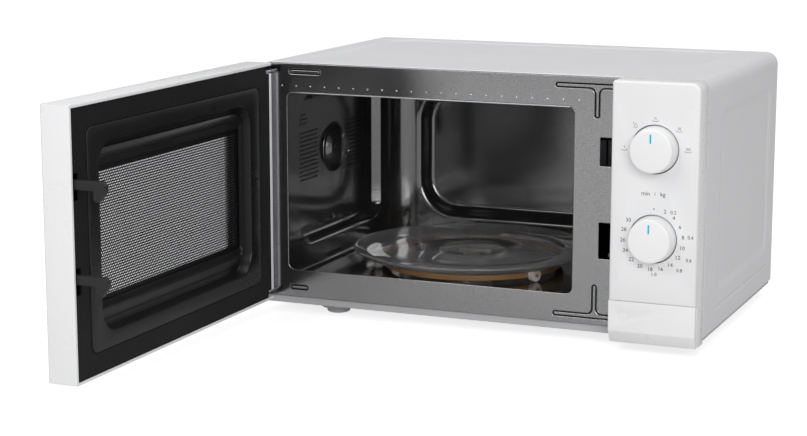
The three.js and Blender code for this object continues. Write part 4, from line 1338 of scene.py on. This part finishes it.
def makeSpring(node):
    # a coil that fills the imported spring's box, wound along z or laid over along x
    look = springLooks[node]
    x, y, z = span(node)
    wire = look["wire"]
    if look["along"] == "z":
        across, length = x, z
        place = Matrix.Translation((sum(x) / 2, sum(y) / 2, z[0] + wire))
    else:
        across, length = y, x
        lying = Matrix.Rotation(math.pi / 2, 4, "Y")
        place = Matrix.Translation((x[0] + wire, sum(y) / 2, sum(z) / 2)) @ lying
    coil = runTree(node + "_coil", coilTree, {
        "Turns": look["turns"], "Radius": (across[1] - across[0]) / 2 - wire,
        "Height": length[1] - length[0] - 2 * wire, "Wire": wire, "Material": finishes["zincSteel"],
    })
    coil.data.transform(place)
    handOver(coil, "zincSteel", look["body"], (node,), place=placeOf(look["body"]))


refined("door_shell", "whiteGloss", 0.9, 3)
refined("door_frame", "screenPaint", 0.3, 1)
makeBezel()
makeChokeCover()
makeScreen()
makeWindow()
makeSpring("latch_spring")
refined("latch_bar", "hookPlastic", 0.7, 2)
refined("upper_hinge", "zincSteel", 0.35, 2)
refined("lower_hinge", "zincSteel", 0.35, 2)
print("door ready")

# base, feet and back
refined("base_plate", "footGrey", 0.4, 1)
footLook = {
    "profile": [  # parts of the foot's radius and height
        (0, 0), (0.82, 0), (0.94, 0.12), (1.0, 0.35), (0.96, 0.8), (0.9, 0.97), (0.84, 1), (0, 1),
    ],
    "finish": {"front_left": "footGrey", "front_right": "rubberDark", "rear_left": "rubberDark",
               "rear_right": "rubberDark"},
}


def makeFeet():
    for where, finish in footLook["finish"].items():
        node = "foot_" + where
        x, y, z = span(node)
        radius, height = (x[1] - x[0]) / 2, z[1] - z[0]
        profile = [(r * radius, z[0] + h * height) for r, h in footLook["profile"]]
        foot = turned(profile, "z", (sum(x) / 2, sum(y) / 2), 48)
        madePiece(node + "_turning", foot, finish, "oven", (node,))


backX, backY, backZ = span("back_panel")
backLook = {
    "slotX": (351, 427), "slotZ": 94.0, "slots": 7, "pitch": 12.0, "slotHalf": 2.5, "gland": (425, 38),
    "glandHole": 7.3, "outerCorner": 10, "screwRadius": 0.6,
    "screws": ((14, 14), (14, 120), (14, 224), (226, 228), (438, 224), (438, 100), (438, 14), (226, 12)),
    "vents": {"columns": 26, "rows": 3, "across": 5.0, "up": 9.0}, "ventAt": (195, 205),
}


def makeBack():
    look = backLook
    behind, half = backY[1], look["slotHalf"]
    slotLevels = [look["slotZ"] + look["pitch"] * k for k in range(look["slots"])]
    holes = [roundedOutline(look["slotX"], (level - half, level + half), 2.3, 5) for level in slotLevels]
    holes.append(circleOutline(look["gland"], look["glandHole"], 32))
    outline = roundedOutline(backX, backZ, (0, 0, look["outerCorner"], look["outerCorner"]))
    sheet = plate(outline, holes, "y", *backY, 0.3, 2)
    madePiece("back_plate", sheet, "zincSteel", "oven", ("back_panel",), limit=50)
    spots = [(u, behind + 0.01, v) for u, v in look["screws"]]
    heads = spotted("back_screws", screwStamp(look["screwRadius"]), spots, turnTo["back"], "brightSteel")
    handOver(heads, "brightSteel", "oven", place=ovenPlace)
    # the vent slits are dark shapes on the sheet: painted shade standing in for the openings
    slit = turned([(0, 0.1), (1.1, 0.1), (1.35, 0.0), (0, -0.05)], "z", (0, 0), 8)
    slit.transform(Matrix.Diagonal((1, 2.4, 1, 1)))
    place = ovenPlace @ facing("back", (look["ventAt"][0], behind + 0.02, look["ventAt"][1]))
    vents = repeated("back_vents", slit, look["vents"], "paintedHoleShade", place)
    handOver(vents, "paintedHoleShade", "oven")


def makeGland():
    x, y, z = span("cord_gland")
    centre = (sum(x) / 2, sum(z) / 2)
    back = y[1]
    bm = turned([(3.6, y[0]), (6.5, y[0]), (6.5, back - 3), (9, back - 3), (9, back - 0.9), (8.3, back),
                 (4.6, back), (3.6, back - 0.9)], "y", centre, 40)
    madePiece("cord_gland_bush", bm, "rubberDark", "oven", ("cord_gland",), limit=40)


makeFeet()
makeBack()
makeGland()

# inner works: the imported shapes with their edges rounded
innerFinishes = {
    "waveguide": "zincSteel", "magnetron": "zincSteel", "transformer_core": "zincSteel",
    "transformer_winding": "copperWire", "capacitor": "brightSteel", "filter_board": "boardGreen",
    "fan_bracket": "zincSteel", "fan_motor": "zincSteel", "fan_blade": "creamPlastic",
    "lamp_holder": "creamPlastic", "lamp_bulb": "bulbGlass", "lamp_socket_screw": "brightSteel",
    "latch_board": "creamPlastic", "primary_switch": "blackGrain", "secondary_switch": "blackGrain",
    "monitor_switch": "blackGrain", "release_lever": "creamPlastic", "timer_unit": "creamPlastic",
    "power_selector": "creamPlastic", "power_spindle": "brightSteel", "timer_spindle": "brightSteel",
    "turntable_motor": "zincSteel",
}
for node, finish in innerFinishes.items():
    refined(node, finish, 0.35, 1)


makeSpring("lever_spring")
print("inner works ready")


# floor
def makeFloor():
    look = lightLook["floor"]
    size = look["size"] / 2
    bm = bmesh.new()
    bm.faces.new([bm.verts.new((sx * size, sy * size, 0)) for sx, sy in ((-1, -1), (1, -1), (1, 1), (-1, 1))])
    floor = newObject("floor", bm)
    material = bpy.data.materials.new("paleFloor")
    material.use_nodes = True
    shader = material.node_tree.nodes["Principled BSDF"]
    shader.inputs["Base Color"].default_value = look["colour"]
    shader.inputs["Roughness"].default_value = look["rough"]
    shader.inputs["Emission Color"].default_value = (1, 1, 1, 1)
    seen = seenDirectly(material.node_tree)
    glow = addRange(material.node_tree, seen, 0, 1, look["bounce"], look["glow"])
    material.node_tree.links.new(glow, shader.inputs["Emission Strength"])
    floor.data.materials.append(material)


makeFloor()
